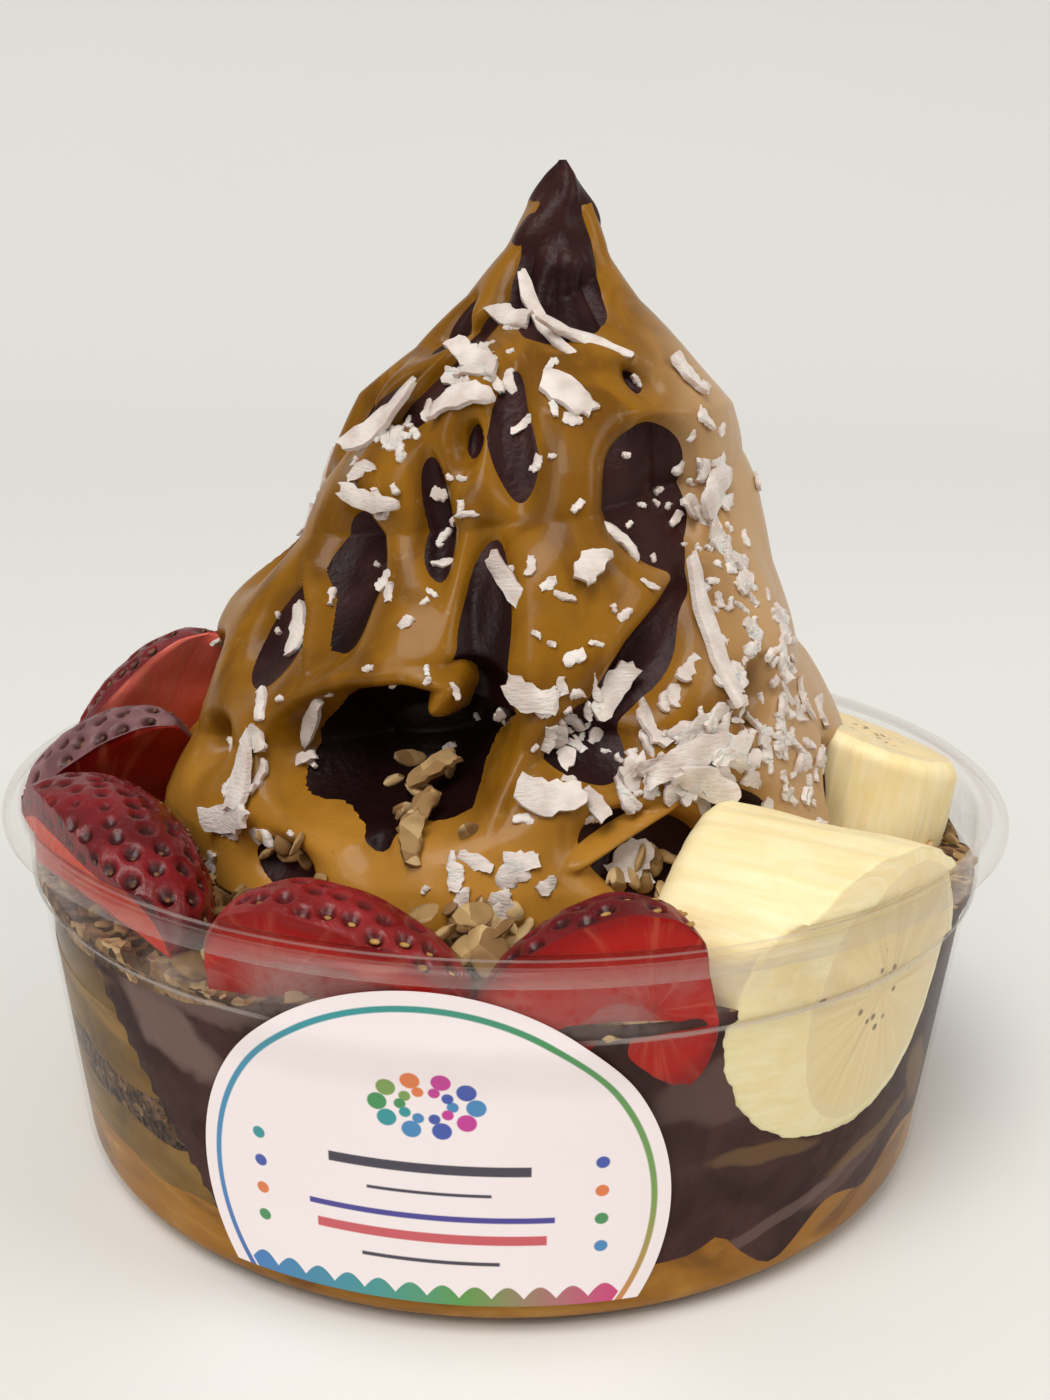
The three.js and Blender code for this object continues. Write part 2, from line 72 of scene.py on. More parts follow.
camera_data = bpy.data.cameras.new("camera")
camera_data.sensor_width = SENSOR
camera_data.lens = FOCAL_PIXELS / LONG_SIDE_PIXELS * SENSOR
camera_data.clip_start = 0.01
camera = bpy.data.objects.new("camera", camera_data)
tilt = Matrix.Rotation(math.radians(90 - CAMERA_DOWN), 4, "X")
roll = Matrix.Rotation(math.radians(CAMERA_ROLL), 4, "Z")
camera.matrix_world = Matrix.Translation(CAMERA_PLACE) @ tilt @ roll
bpy.context.collection.objects.link(camera)
bpy.context.scene.camera = camera
print("lens", round(camera_data.lens, 2), "mm")

# %% [markdown]
# ## Shader maths
# A material's pattern is a sum of small formulas. Adding each Math node by hand is long, so a
# class wraps a socket and Python's own operators add the nodes. One method, node(), adds any
# other node: its settings come first, because they decide which sockets it has.

# %% A socket that Python can calculate with
class Socket:
    def __init__(self, shade, socket):
        self.shade = shade
        self.socket = socket

    def math(self, operation, *values):
        return self.shade.node("Math", {"operation": operation}, dict(enumerate(values)))

    def __add__(self, other):
        return self.math("ADD", self, other)

    def __sub__(self, other):
        return self.math("SUBTRACT", self, other)

    def __rsub__(self, other):
        return self.math("SUBTRACT", other, self)

    def __mul__(self, other):
        return self.math("MULTIPLY", self, other)

    def __truediv__(self, other):
        return self.math("DIVIDE", self, other)

    def __pow__(self, other):
        return self.math("POWER", self, other)

    __radd__ = __add__
    __rmul__ = __mul__

    def sin(self):
        return self.math("SINE", self)

    def abs(self):
        return self.math("ABSOLUTE", self)

    def ramp(self, low, high):
        """0 below low and 1 above high, or the other way round, with soft ends."""
        settings = {"interpolation_type": "SMOOTHSTEP"}
        values = {"Value": self, "From Min": low, "From Max": high}
        return self.shade.node("MapRange", settings, values)

    def part(self, name):
        """Another output of the same node."""
        return Socket(self.shade, self.socket.node.outputs[name])


print("a socket can", [name for name in vars(Socket) if not name.startswith("_")])

# %% A material made of such sockets
class Shade:
    def __init__(self, name):
        self.material = bpy.data.materials.new(name)
        self.material.use_nodes = True
        self.tree = self.material.node_tree
        self.tree.nodes.clear()

    def node(self, kind, settings=None, values=None):
        made = self.tree.nodes.new("ShaderNode" + kind)
        for name, setting in (settings or {}).items():
            setattr(made, name, setting)
        for name, value in (values or {}).items():
            if isinstance(value, Socket):
                self.tree.links.new(value.socket, made.inputs[name])
            else:
                made.inputs[name].default_value = value
        shown = [output for output in made.outputs if output.enabled]
        return Socket(self, shown[0]) if shown else None

    def place(self, output="Object"):
        return self.node("TexCoord").part(output)

    def axes(self, vector):
        split = self.node("SeparateXYZ", None, {"Vector": vector})
        return split.part("X"), split.part("Y"), split.part("Z")

    def noise(self, vector, size, detail=2.0, roughness=0.5, distortion=0.0):
        """Cloudy values of about 0.3 to 0.7, with blobs of a size in metres."""
        values = {"Vector": vector, "Scale": 1 / size, "Detail": detail}
        values.update({"Roughness": roughness, "Distortion": distortion})
        return self.node("TexNoise", None, values)

    def cells(self, vector, size):
        """The distance to the nearest grain's middle, with grains of a size in metres."""
        return self.node("TexVoronoi", None, {"Vector": vector, "Scale": 1 / size})

    def stretch(self, vector, scale):
        return self.node("Mapping", None, {"Vector": vector, "Scale": scale})

    def mix(self, factor, low, high):
        """A colour between two others."""
        made = self.node("Mix", {"data_type": "RGBA"}, {"Factor": factor})
        sockets = made.socket.node.inputs
        for socket, value in ((sockets[6], low), (sockets[7], high)):
            if isinstance(value, Socket):
                self.tree.links.new(value.socket, socket)
            else:
                socket.default_value = (*value, 1)
        return Socket(self, made.socket.node.outputs[2])

    def bump(self, height, depth):
        """Low relief from a pattern, with a depth in metres."""
        return self.node("Bump", None, {"Height": height, "Distance": depth, "Strength": 1.0})

    def surface(self, **values):
        """The Principled shader, by the names of its sockets with _ for a blank."""
        named = {name.replace("_", " "): value for name, value in values.items()}
        for name, value in named.items():
            if isinstance(value, tuple) and len(value) == 3 and name.endswith("Color"):
                named[name] = (*value, 1)
        return self.node("BsdfPrincipled", None, named)

    def done(self, shader):
        self.node("OutputMaterial", None, {"Surface": shader})
        return self.material


print("a shade can", [name for name in vars(Shade) if not name.startswith("_")])

# %% [markdown]
# ## From a bmesh to a piece
# Every piece ends alike: its faces are turned outwards, it is shaded smooth but for its sharp
# edges, and it rides on the bowl's body and stands for the nodes that it replaces. A round piece
# is a line of points spun once about the upright axis, which an operator does in one call; the
# seam and the poles are then closed by merging doubles.

# %% Start a mesh from a spun line
SEAM = 1e-7
FULL_TURN = 2 * math.pi


def spun(profile, steps):
    """Turns [radius, height] pairs, in millimetres, once about the upright axis."""
    shape = bmesh.new()
    points = [shape.verts.new((radius * MM, 0, height * MM)) for radius, height in profile]
    edges = [shape.edges.new(pair) for pair in zip(points, points[1:])]
    bmesh.ops.spin(
        shape, geom=points + edges, cent=(0, 0, 0), axis=(0, 0, 1),
        angle=FULL_TURN, steps=steps, use_merge=True,
    )
    bmesh.ops.remove_doubles(shape, verts=shape.verts, dist=SEAM)
    return shape


print("points closer than", SEAM / MM, "mm are merged")

# %% Finish a piece
def piece(name, shape, materials, nodes, sharp, maps=None):
    """Makes an object of a bmesh, and tells the frame what it stands for.

    Edges over the sharp angle, in degrees, stay crisp. A map is two numbers for each of the
    first points, kept as UVs of that name."""
    bmesh.ops.recalc_face_normals(shape, faces=shape.faces)
    mesh = bpy.data.meshes.new(name)
    shape.to_mesh(mesh)
    shape.free()
    for material in materials:
        mesh.materials.append(material)
    corners = np.zeros(len(mesh.loops), dtype=np.int32)
    mesh.loops.foreach_get("vertex_index", corners)
    for map_name, values in (maps or {}).items():
        filled = np.zeros((len(mesh.vertices), 2), dtype=np.float32)
        filled[:len(values)] = values
        mesh.uv_layers.new(name=map_name).data.foreach_set("uv", filled[corners].ravel())
    mesh.shade_smooth()
    mesh.set_sharp_from_angle(angle=math.radians(sharp))
    made = bpy.data.objects.new(name, mesh)
    bpy.context.collection.objects.link(made)
    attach(made, "root")
    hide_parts(*nodes)
    print(name, len(mesh.polygons), "faces")

# %% [markdown]
# The points of a shape are read as one array, changed by formulas that work on all of them at
# once, and written back. That is far quicker than a loop with the same formula for each point.

# %% Move and join points
def points_of(shape):
    """The vertices of a bmesh as rows of x, y and z in millimetres."""
    return np.array([vertex.co[:] for vertex in shape.verts]) / MM


def move_points(shape, places):
    for vertex, place in zip(shape.verts, places * MM):
        vertex.co = place


def joined(shapes):
    """One bmesh of several, which are freed."""
    whole = bmesh.new()
    for shape in shapes:
        scrap = bpy.data.meshes.new("scrap")
        shape.to_mesh(scrap)
        shape.free()
        whole.from_mesh(scrap, face_normals=False, vertex_normals=False)
        bpy.data.meshes.remove(scrap)
    return whole


def smoothstep(value, low, high):
    """0 below low and 1 above high, with soft ends, for arrays."""
    share = np.clip((value - low) / (high - low), 0, 1)
    return share * share * (3 - 2 * share)


print("half way is", smoothstep(0.5, 0, 1))

# %% [markdown]
# ## Stage
# The floor and the backdrop are one pale sheet that curves up behind the bowl, as in a photo
# studio, so that no horizon shows. The light is soft: a sun with a wide disc lights the sheet
# and the food evenly, two panels put the highlights on the drizzle and the rim, and a dim pale
# world fills the shadows.

# %% Pale sheet
SHEET_COLOUR = (0.78, 0.775, 0.755)
SHEET_WIDTH = 5.0
SHEET_FRONT = -1.6
SHEET_BACK = 1.1
SHEET_BEND = 1.6
BEND_STEPS = 16
FLOOR_LEVEL = -0.0002

sheet = Shade("pale_sheet")
grain = sheet.noise(sheet.place(), 0.4)
tone = sheet.mix(grain, SHEET_COLOUR, tuple(channel * 1.02 for channel in SHEET_COLOUR))
sheet.done(sheet.surface(Base_Color=tone, Roughness=0.9, Specular_IOR_Level=0.2))

backdrop = bmesh.new()
bmesh.ops.create_grid(backdrop, x_segments=1, y_segments=BEND_STEPS + 2, size=0.5)
rows = sorted({round(vertex.co.y, 5) for vertex in backdrop.verts})
for vertex in backdrop.verts:
    row = rows.index(round(vertex.co.y, 5))
    bend = math.radians(90) * min(max(row - 1, 0), BEND_STEPS) / BEND_STEPS
    away = SHEET_BACK + SHEET_BEND * math.sin(bend) if row else SHEET_FRONT
    up = SHEET_BEND * (1 - math.cos(bend)) + (2.0 if row > BEND_STEPS + 1 else 0)
    vertex.co = (vertex.co.x * SHEET_WIDTH * 2, away, up + FLOOR_LEVEL)
backdrop_mesh = bpy.data.meshes.new("backdrop")
backdrop.to_mesh(backdrop_mesh)
backdrop.free()
backdrop_mesh.materials.append(sheet.material)
backdrop_mesh.shade_smooth()
backdrop_object = bpy.data.objects.new("backdrop", backdrop_mesh)
bpy.context.collection.objects.link(backdrop_object)
print("sheet bends up", SHEET_BEND, "m behind the bowl")

# %% Soft lights and the world
MIDDLE_OF_BOWL = Vector((0, 0, 0.07))


def panel(name, place, size, power, colour):
    """A square soft light that faces the middle of the bowl."""
    data = bpy.data.lights.new(name, "AREA")
    data.size = size
    data.energy = power
    data.color = colour
    made = bpy.data.objects.new(name, data)
    made.location = place
    made.rotation_euler = (MIDDLE_OF_BOWL - Vector(place)).to_track_quat("-Z", "Y").to_euler()
    bpy.context.collection.objects.link(made)


panel("front_left", (-0.55, -0.75, 0.7), 0.45, 2.4, (1.0, 0.96, 0.9))
panel("front_right", (0.75, -0.35, 0.6), 0.4, 2.2, (1.0, 0.95, 0.88))

sun_data = bpy.data.lights.new("wide_sun", "SUN")
sun_data.energy = 1.8
sun_data.angle = math.radians(32)
sun_data.color = (1.0, 0.98, 0.95)
sun = bpy.data.objects.new("wide_sun", sun_data)
sun.rotation_euler = (math.radians(26), math.radians(-12), 0)
bpy.context.collection.objects.link(sun)

world = bpy.data.worlds.new("pale_world")
world.use_nodes = True
world.node_tree.nodes["Background"].inputs["Color"].default_value = (0.95, 0.94, 0.92, 1)
world.node_tree.nodes["Background"].inputs["Strength"].default_value = 0.33
bpy.context.scene.world = world
bpy.context.scene.view_settings.view_transform = "Standard"
print("lights", [light.name for light in bpy.data.lights])

# %% [markdown]
# ## Clear bowl
# The real bowl is one sheet of clear plastic drawn over a mould: a flat base with a round
# corner, a wall that leans out, a step that stops stacked bowls from jamming, a straight neck,
# and a lip rolled outwards and down. It could be lofted ring by ring, but as it is round a
# profile spun about its axis gives every bend at once. The wall has its real two faces.

# %% Sizes of the bowl
RIM_RADIUS = 79.95
RIM_TOP = 57.5
LIP_BOTTOM = 55
NECK_RADIUS = 76.2
STEP_HEIGHT = 45.5
STEP_DEPTH = 1
BASE_RADIUS = 70.5
CORNER = 5
WALL = 0.8
BOWL_STEPS = 192


def arc(centre, radius, start, end, steps):
    """Points on a round bend, from one angle to another in degrees."""
    angles = np.radians(np.linspace(start, end, steps + 1))
    return [(centre[0] + radius * math.cos(a), centre[1] + radius * math.sin(a)) for a in angles]


print("rim", 2 * RIM_RADIUS, "mm across, base", 2 * BASE_RADIUS, "mm")

# %% Spin the clear bowl
step_radius = NECK_RADIUS - STEP_DEPTH
corner_centre = (BASE_RADIUS - CORNER, CORNER)
neck_inside = NECK_RADIUS - WALL
outside = [
    (0, 0),
    *arc(corner_centre, CORNER, -90, -8, 6),
    (step_radius - 0.15, STEP_HEIGHT - 1.2),
    (step_radius, STEP_HEIGHT),
    (step_radius + 0.5, STEP_HEIGHT + 0.6),
    (NECK_RADIUS - 0.1, STEP_HEIGHT + STEP_DEPTH),
    (NECK_RADIUS, STEP_HEIGHT + 2.2),
    (NECK_RADIUS, RIM_TOP - 3),
    *arc((NECK_RADIUS + 1.1, RIM_TOP - 2.0), 1.1, 180, 90, 4),
    *arc((RIM_RADIUS - 2.0, RIM_TOP - 2.0), 1.1, 90, 0, 4),
    (RIM_RADIUS - 0.9, LIP_BOTTOM + 0.2),
    (RIM_RADIUS - 0.5, LIP_BOTTOM),
    (RIM_RADIUS, LIP_BOTTOM + 0.4),
]
inside = [
    (RIM_RADIUS, RIM_TOP - 1.9),
    *arc((RIM_RADIUS - 1.7, RIM_TOP - 1.7), 1.7, 0, 90, 5),
    *arc((neck_inside + 1.7, RIM_TOP - 1.7), 1.7, 90, 180, 5),
    (neck_inside, STEP_HEIGHT + 2.2),
    (neck_inside - 0.1, STEP_HEIGHT + STEP_DEPTH),
    (step_radius - WALL, STEP_HEIGHT),
    (step_radius - WALL - 0.15, STEP_HEIGHT - 1.2),
    *arc(corner_centre, CORNER - WALL, -8, -90, 6),
    (0, WALL),
]
bowl_shape = spun(outside + inside, BOWL_STEPS)
print("profile of", len(outside + inside), "points")

# %% [markdown]
# Clear plastic over food looks dark if the light has to bend through two faces, and thin sheet
# hardly bends it. So the plastic lets light straight through and adds only its gloss, which
# grows where the wall turns away from the eye. A faint cloudy coat stands for the moist haze
# where cold acai touches the wall, with clearer spots where drops have run, and the moulded
# line of the step is a little cloudier. Thin pale lines of the same coat along the rim and the
# lip are painted highlights.

# %% Clear plastic with haze
HAZE_AND_HIGHLIGHT_COLOUR = (0.6, 0.52, 0.49)

plastic = Shade("clear_plastic")
spot = plastic.place()
x, y, z = plastic.axes(spot)
level = z / MM
reach = ((x ** 2 + y ** 2) ** 0.5) / MM
cloud = plastic.noise(spot, 0.016, 4, 0.6, 0.4)
drops = plastic.cells(spot, 0.0016).ramp(0.1, 0.45)
neck = level.ramp(43, 47) * level.ramp(57, 53)
step_line = (level - STEP_HEIGHT - 0.3).abs().ramp(0.75, 0.35)
# Painted highlights: thin lines of the pale cloudy coat along the lip and the top of the rim.
lip_highlight = reach.ramp(RIM_RADIUS - 1.2, RIM_RADIUS - 0.5)
rim_highlight = (reach - NECK_RADIUS - 0.6).abs().ramp(0.9, 0.5) * level.ramp(RIM_TOP - 1.4, RIM_TOP - 0.5)
cloudy_lines_and_highlights = step_line * 0.4 + lip_highlight * 0.09 + rim_highlight * 0.3
haze_and_highlights = cloud.ramp(0.35, 0.7) * (0.5 + 0.5 * drops) * (neck * 0.14 + 0.012) + 0.003 + cloudy_lines_and_highlights
ripple = plastic.bump(plastic.noise(spot, 0.03, 2), 0.0006)
clear = plastic.node("BsdfTransparent", None, {"Color": (0.97, 0.97, 0.965, 1)})
cloudy_coat = plastic.surface(Base_Color=HAZE_AND_HIGHLIGHT_COLOUR, Roughness=0.5, Normal=ripple)
body = plastic.node("MixShader", None, {0: haze_and_highlights, 1: clear, 2: cloudy_coat})
gloss = {"Color": (1, 1, 1, 1), "Roughness": 0.06, "Normal": ripple}
shine = plastic.node("BsdfAnisotropic", None, gloss)
facing = plastic.node("LayerWeight", None, {"Blend": 0.5, "Normal": ripple}).part("Facing")
edge = (facing ** 8) * 0.5 + 0.006
plastic.done(plastic.node("MixShader", None, {0: edge, 1: body, 2: shine}))

piece("clear_bowl", bowl_shape, [plastic.material], ["bowl"], sharp=60)

# %% [markdown]
# ## Label
# The label is a round sticker pressed onto the leaning wall, cut off level at the base corner.
# A cut from the wall's own mesh would share its coarse edges. Bending a flat disc onto the wall
# is how the real one got there: a square grid is pulled into a disc, its own flat coordinates
# are kept as a UV map for the print, and then every point is wrapped round the wall. A thin
# solidify gives the paper its thickness.

# %% Sizes of the label and the wall's two faces
LABEL_RADIUS = 31.75
LABEL_AZIMUTH = -97
LABEL_HEIGHT = 21
LABEL_FOOT = CORNER + 0.5
LOW_EDGE = LABEL_FOOT - LABEL_HEIGHT
LABEL_CLEAR = 0.32
LABEL_THICKNESS = 0.14
LABEL_BRIDGE = 9
LABEL_CELLS = 72


def wall_radius(height):
    """The outer face of the wall between the corner and the step."""
    share = (np.minimum(height, STEP_HEIGHT) - CORNER) / (STEP_HEIGHT - CORNER)
    return BASE_RADIUS + (step_radius - BASE_RADIUS) * share


def inner_radius(height):
    """The inner face of the wall at any height."""
    low = np.maximum(CORNER - height, 0)
    reach = CORNER - WALL
    corner = np.sqrt(np.maximum(reach ** 2 - np.minimum(low, reach) ** 2, 0)) - reach
    neck = STEP_DEPTH * np.clip(height - STEP_HEIGHT, 0, 1)
    return wall_radius(np.maximum(height, CORNER)) - WALL + neck + corner


print("wall at the label's middle", round(float(wall_radius(LABEL_HEIGHT)), 1), "mm from the axis")

# %% Wrap a disc onto the wall
label_shape = bmesh.new()
bmesh.ops.create_grid(label_shape, x_segments=LABEL_CELLS, y_segments=LABEL_CELLS, size=1)
print_map = label_shape.loops.layers.uv.new("print")
flat = points_of(label_shape)[:, :2] * MM
across = flat[:, 0] * np.sqrt(1 - flat[:, 1] ** 2 / 2) * LABEL_RADIUS
up = flat[:, 1] * np.sqrt(1 - flat[:, 0] ** 2 / 2) * LABEL_RADIUS
move_points(label_shape, np.stack([across, up, 0 * up], 1))
bmesh.ops.bisect_plane(
    label_shape, geom=label_shape.verts[:] + label_shape.edges[:] + label_shape.faces[:],
    plane_co=(0, LOW_EDGE * MM, 0), plane_no=(0, -1, 0), clear_outer=True,
)
for face in label_shape.faces:
    for corner in face.loops:
        corner[print_map].uv = corner.vert.co.xy / MM
flat = points_of(label_shape)
height = LABEL_HEIGHT + flat[:, 1]
on_step = smoothstep(height, STEP_HEIGHT + STEP_DEPTH - LABEL_BRIDGE, STEP_HEIGHT)
creases = 0.05 * np.sin(flat[:, 0] / 6 + flat[:, 1] / 9) * smoothstep(height, 30, 48)
radius = wall_radius(height) + on_step * STEP_DEPTH
angle = math.radians(LABEL_AZIMUTH) + flat[:, 0] / radius
out = radius + LABEL_CLEAR + creases
move_points(label_shape, np.stack([out * np.cos(angle), out * np.sin(angle), height], 1))
bmesh.ops.recalc_face_normals(label_shape, faces=label_shape.faces)
front = max(label_shape.faces, key=lambda face: -face.calc_center_median().y)
if front.normal.y > 0:
    bmesh.ops.reverse_faces(label_shape, faces=label_shape.faces)
bmesh.ops.solidify(label_shape, geom=label_shape.faces[:], thickness=LABEL_THICKNESS * MM)
print("label", len(label_shape.faces), "faces")

# %% [markdown]
# The print is a thin ring whose colours change round the label, on white coated paper. Inside
# it are plain generic marks: a rosette of dots, some rules and a scalloped foot. Each mark is a
# distance worked out from the label's own coordinates, so its edge stays crisp at any size.

# %% Marks for the print
PAPER = (0.93, 0.84, 0.85)
RING = LABEL_RADIUS - 2.3
RING_WIDTH = 0.85
RING_STOPS = [
    (0.0, (0.06, 0.24, 0.5)), (0.12, (0.05, 0.09, 0.4)), (0.28, (0.55, 0.04, 0.3)),
    (0.38, (0.75, 0.2, 0.06)), (0.5, (0.2, 0.34, 0.08)), (0.66, (0.06, 0.28, 0.1)),
    (0.8, (0.03, 0.3, 0.32)), (1.0, (0.06, 0.24, 0.5)),
]


def colour_stops(shade, factor, stops):
    ramp = shade.node("ValToRGB", None, {"Fac": factor})
    band = ramp.socket.node.color_ramp
    while len(band.elements) < len(stops):
        band.elements.new(0.5)
    for element, (place, colour) in zip(band.elements, stops):
        element.position = place
        element.color = (*colour, 1)
    return ramp


paper = Shade("label_print")
x, y, _ = paper.axes(paper.place("UV"))
turn = x.math("ARCTAN2", y, x) / FULL_TURN + 0.5
reach = (x ** 2 + y ** 2) ** 0.5
# Half the width over which a printed edge fades, in millimetres
soft = 0.12


def around(middle, width):
    """1 on a ring of the label and 0 off it."""
    return (reach - middle).abs().ramp(width / 2 + soft, width / 2 - soft)


def bar(left, right, level, thick):
    """1 on a level rule."""
    inside = x.ramp(left - soft, left + soft) * x.ramp(right + soft, right - soft)
    return inside * (y - level).abs().ramp(thick / 2 + soft, thick / 2 - soft)


def dot(place, size):
    away = ((x - place[0]) ** 2 + (y - place[1]) ** 2) ** 0.5
    return away.ramp(size + soft, size - soft)


print("marks drawn with edges", 2 * soft, "mm soft")

# %% Print on the label
wheel = colour_stops(paper, turn, RING_STOPS)
printed = paper.mix(around(RING, RING_WIDTH), PAPER, wheel)
ROSETTE = (0.5, 15.5)
PETALS = 10
for number in range(PETALS):
    bearing = number * FULL_TURN / PETALS
    hue = RING_STOPS[number % (len(RING_STOPS) - 1)][1]
    for away, size in ((6.2, 1.25), (3.3, 0.75)):
        spot_at = (ROSETTE[0] + away * math.cos(bearing), ROSETTE[1] + 0.62 * away * math.sin(bearing))
        printed = paper.mix(dot(spot_at, size), printed, hue)
INK = (0.05, 0.045, 0.07)
for level_at, half, thick, hue in (
    (6.0, 13, 1.5, INK), (2.2, 8, 0.5, INK), (-1.6, 16, 0.9, (0.06, 0.05, 0.3)),
    (-4.8, 15, 1.5, (0.6, 0.1, 0.12)), (-8.6, 9, 0.6, INK),
):
    printed = paper.mix(bar(0.5 - half, 0.5 + half, level_at, thick), printed, hue)
for side in (-1, 1):
    for number in range(4):
        level_at = 7 - 4.4 * number
        hue = RING_STOPS[(number * 2 + side) % 7][1]
        printed = paper.mix(dot((side * 22.5, level_at), 0.9), printed, hue)
scallop = (x * (math.pi / 4.2)).sin().abs() * 1.9 + LOW_EDGE + 1.2
foot = (y - scallop).ramp(soft, -soft) * reach.ramp(RING - 0.6, RING - 0.8)
printed = paper.mix(foot, printed, colour_stops(paper, (x + 24) / 48, [
    (0.0, (0.05, 0.2, 0.5)), (0.35, (0.05, 0.3, 0.3)), (0.6, (0.1, 0.32, 0.06)), (1.0, (0.6, 0.05, 0.2)),
]))
fibre = paper.noise(paper.place(), 0.0012, 3)
crease = paper.noise(paper.stretch(paper.place(), (1, 1, 0.35)), 0.014, 1, 0.4, 0.6)
sheet_bump = paper.bump(crease + fibre * 0.02, 0.0006)
paper.done(paper.surface(Base_Color=printed, Roughness=fibre * 0.2 + 0.3, Normal=sheet_bump))
piece("round_label", label_shape, [paper.material], ["label"], sharp=50)

# %% [markdown]
# ## Layers in the bowl
# What fills the bowl is seen through its wall, so each layer reaches just into the plastic and
# no gap of air shows. A layer is a turned block whose top and bottom follow wavy surfaces. The
# same surface is the top of one layer and the bottom of the next, so they meet as food does.

# %% Sizes of the layers
BASE_LAYER_TOP = 10
FILL_TOP = 43.5
FILL_RISE = 5
FRONT_AZIMUTH = -58
GRANOLA_TOP = 49.5
REACH_IN_WALL = 0.15
REACH_IN_FLOOR = 0.1
LAYER_STEPS = 220
LAYER_RINGS = 9
LAYER_ROWS = 26
FILL_ROWS = 60
BED_ROWS = 12
SETTLING_ROUNDS = 2
THINNEST = 0.02
ABOUT_AT_WALL = 72


def azimuth_of(x, y):
    return np.degrees(np.arctan2(y, x))


def turned_by(azimuth, start):
    return (azimuth - start + 180) % 360 - 180


def bump_at(azimuth, middle, width):
    """A smooth hill round one azimuth of the wall."""
    return np.exp(-((turned_by(azimuth, middle) / width) ** 2))


def near_front(x, y):
    around = math.radians(FRONT_AZIMUTH)
    return smoothstep(x * math.cos(around) + y * math.sin(around), 30, 52)


def fill_top(x, y):
    return FILL_TOP + FILL_RISE * near_front(x, y) + 0.8 * np.sin(x / 15) * np.cos(y / 19)


def granola_top(x, y):
    rim = smoothstep(np.hypot(x, y), 60, 74)
    waves = np.sin(x / 5) * np.cos(y / 7)
    return GRANOLA_TOP - rim * (1.2 + 2.5 * near_front(x, y) + waves)


print("granola tops at", round(float(granola_top(0, 0)), 1), "mm in the middle")

# %% Wavy tops of the lower layers
# The base layer's top, with the lobes that it makes at the right: azimuth, width and rise
BASE_LOBES = [(-65, 2.2, 2.5), (-57, 4.5, -6.5), (-49, 3.2, 1.5), (-41, 3.0, -1.5), (-30, 6, 3.5)]


def base_top(x, y):
    azimuth = azimuth_of(x, y)
    at_wall = smoothstep(np.hypot(x, y), 40, 64)
    left = smoothstep(-x, 10, 60)
    lobes = sum(rise * bump_at(azimuth, middle, width) for middle, width, rise in BASE_LOBES)
    waves = 0.5 * np.sin(np.radians(azimuth) * 17) + 0.3 * np.sin(np.radians(azimuth) * 31 + 1)
    return BASE_LAYER_TOP + 2.2 * left + at_wall * (lobes + waves)


def flat_at(height):
    return lambda x, y: height + 0 * x


def crumb_low(x, y):
    azimuth = np.radians(azimuth_of(x, y))
    return 19.6 + 0.8 * np.sin(azimuth * 9) + 0.4 * np.sin(azimuth * 23)


def crumb_high(x, y):
    azimuth = np.radians(azimuth_of(x, y))
    return 25.6 + 0.9 * np.sin(azimuth * 7 + 1) + 0.5 * np.sin(azimuth * 19)


# The side bands: their top, middle azimuth, half width and depth from the wall, and how many
# degrees their middle moves for each millimetre over or under a height
SIDE_TOP = 36
SIDE_MIDDLE = 184.4
SIDE_HALF = 46
SIDE_DEPTH = 24
SIDE_LEAN = 0.55
UPRIGHT_AT = 24


def side_depth(azimuth, height):
    """How far the side layers reach in from the wall: nothing outside their crescent."""
    lean = SIDE_LEAN * (height - UPRIGHT_AT)
    share = turned_by(azimuth, SIDE_MIDDLE - lean) / SIDE_HALF
    return SIDE_DEPTH * np.clip(1 - share ** 2, 0, 1)


print("side bands reach in", round(float(side_depth(SIDE_MIDDLE, UPRIGHT_AT)), 1), "mm")

# %% Turn one layer
def layer(low, high, rows=LAYER_ROWS, outer=None):
    """A block between two surfaces; outer pulls its side away from the wall.

    The heights depend on the plan and the plan on the heights, so both are found twice."""
    rings = [ring / LAYER_RINGS for ring in range(LAYER_RINGS + 1)]
    sides = [row / rows for row in range(1, rows)]
    section = [(ring, 0) for ring in rings] + [(1, side) for side in sides]
    section += [(ring, 1) for ring in reversed(rings)]
    shape = spun(section, LAYER_STEPS)
    at = points_of(shape)
    share = np.hypot(at[:, 0], at[:, 1])
    azimuth = np.arctan2(at[:, 1], at[:, 0])
    turn = np.stack([np.cos(azimuth), np.sin(azimuth)], 1)
    plan = turn * (share * ABOUT_AT_WALL)[:, None]
    for _ in range(SETTLING_ROUNDS):
        low_at = low(*plan.T)
        high_at = np.maximum(high(*plan.T), low_at + THINNEST)
        height = low_at + (high_at - low_at) * at[:, 2]
        wall = inner_radius(height) + REACH_IN_WALL
        if outer is not None:
            wall = wall - outer(np.degrees(azimuth), height)
        plan = turn * (wall * share)[:, None]
    move_points(shape, np.concatenate([plan, height[:, None]], 1))
    return shape


base_shape = layer(flat_at(WALL - REACH_IN_FLOOR), base_top)
fill_shape = layer(base_top, fill_top, FILL_ROWS, outer=side_depth)
print("base", len(base_shape.faces), "faces, fill", len(fill_shape.faces))

# %% [markdown]
# The bands at the left side are a crescent pressed against the wall. A grid with a thickness,
# bent round the wall, makes them: its outer face lies in the plastic, its inner face swells in
# the middle, and the acai behind gives way by the same amount. Past the crescent's ends the
# block dives under the acai's face, so that the two faces don't flicker there.

# %% Bend the side layers round the wall
CRESCENT_STEPS = 150
CRESCENT_ROWS = 14
PAST_ENDS = 1.25
ENDS_UNDER = 0.05
DIVE = 0.4


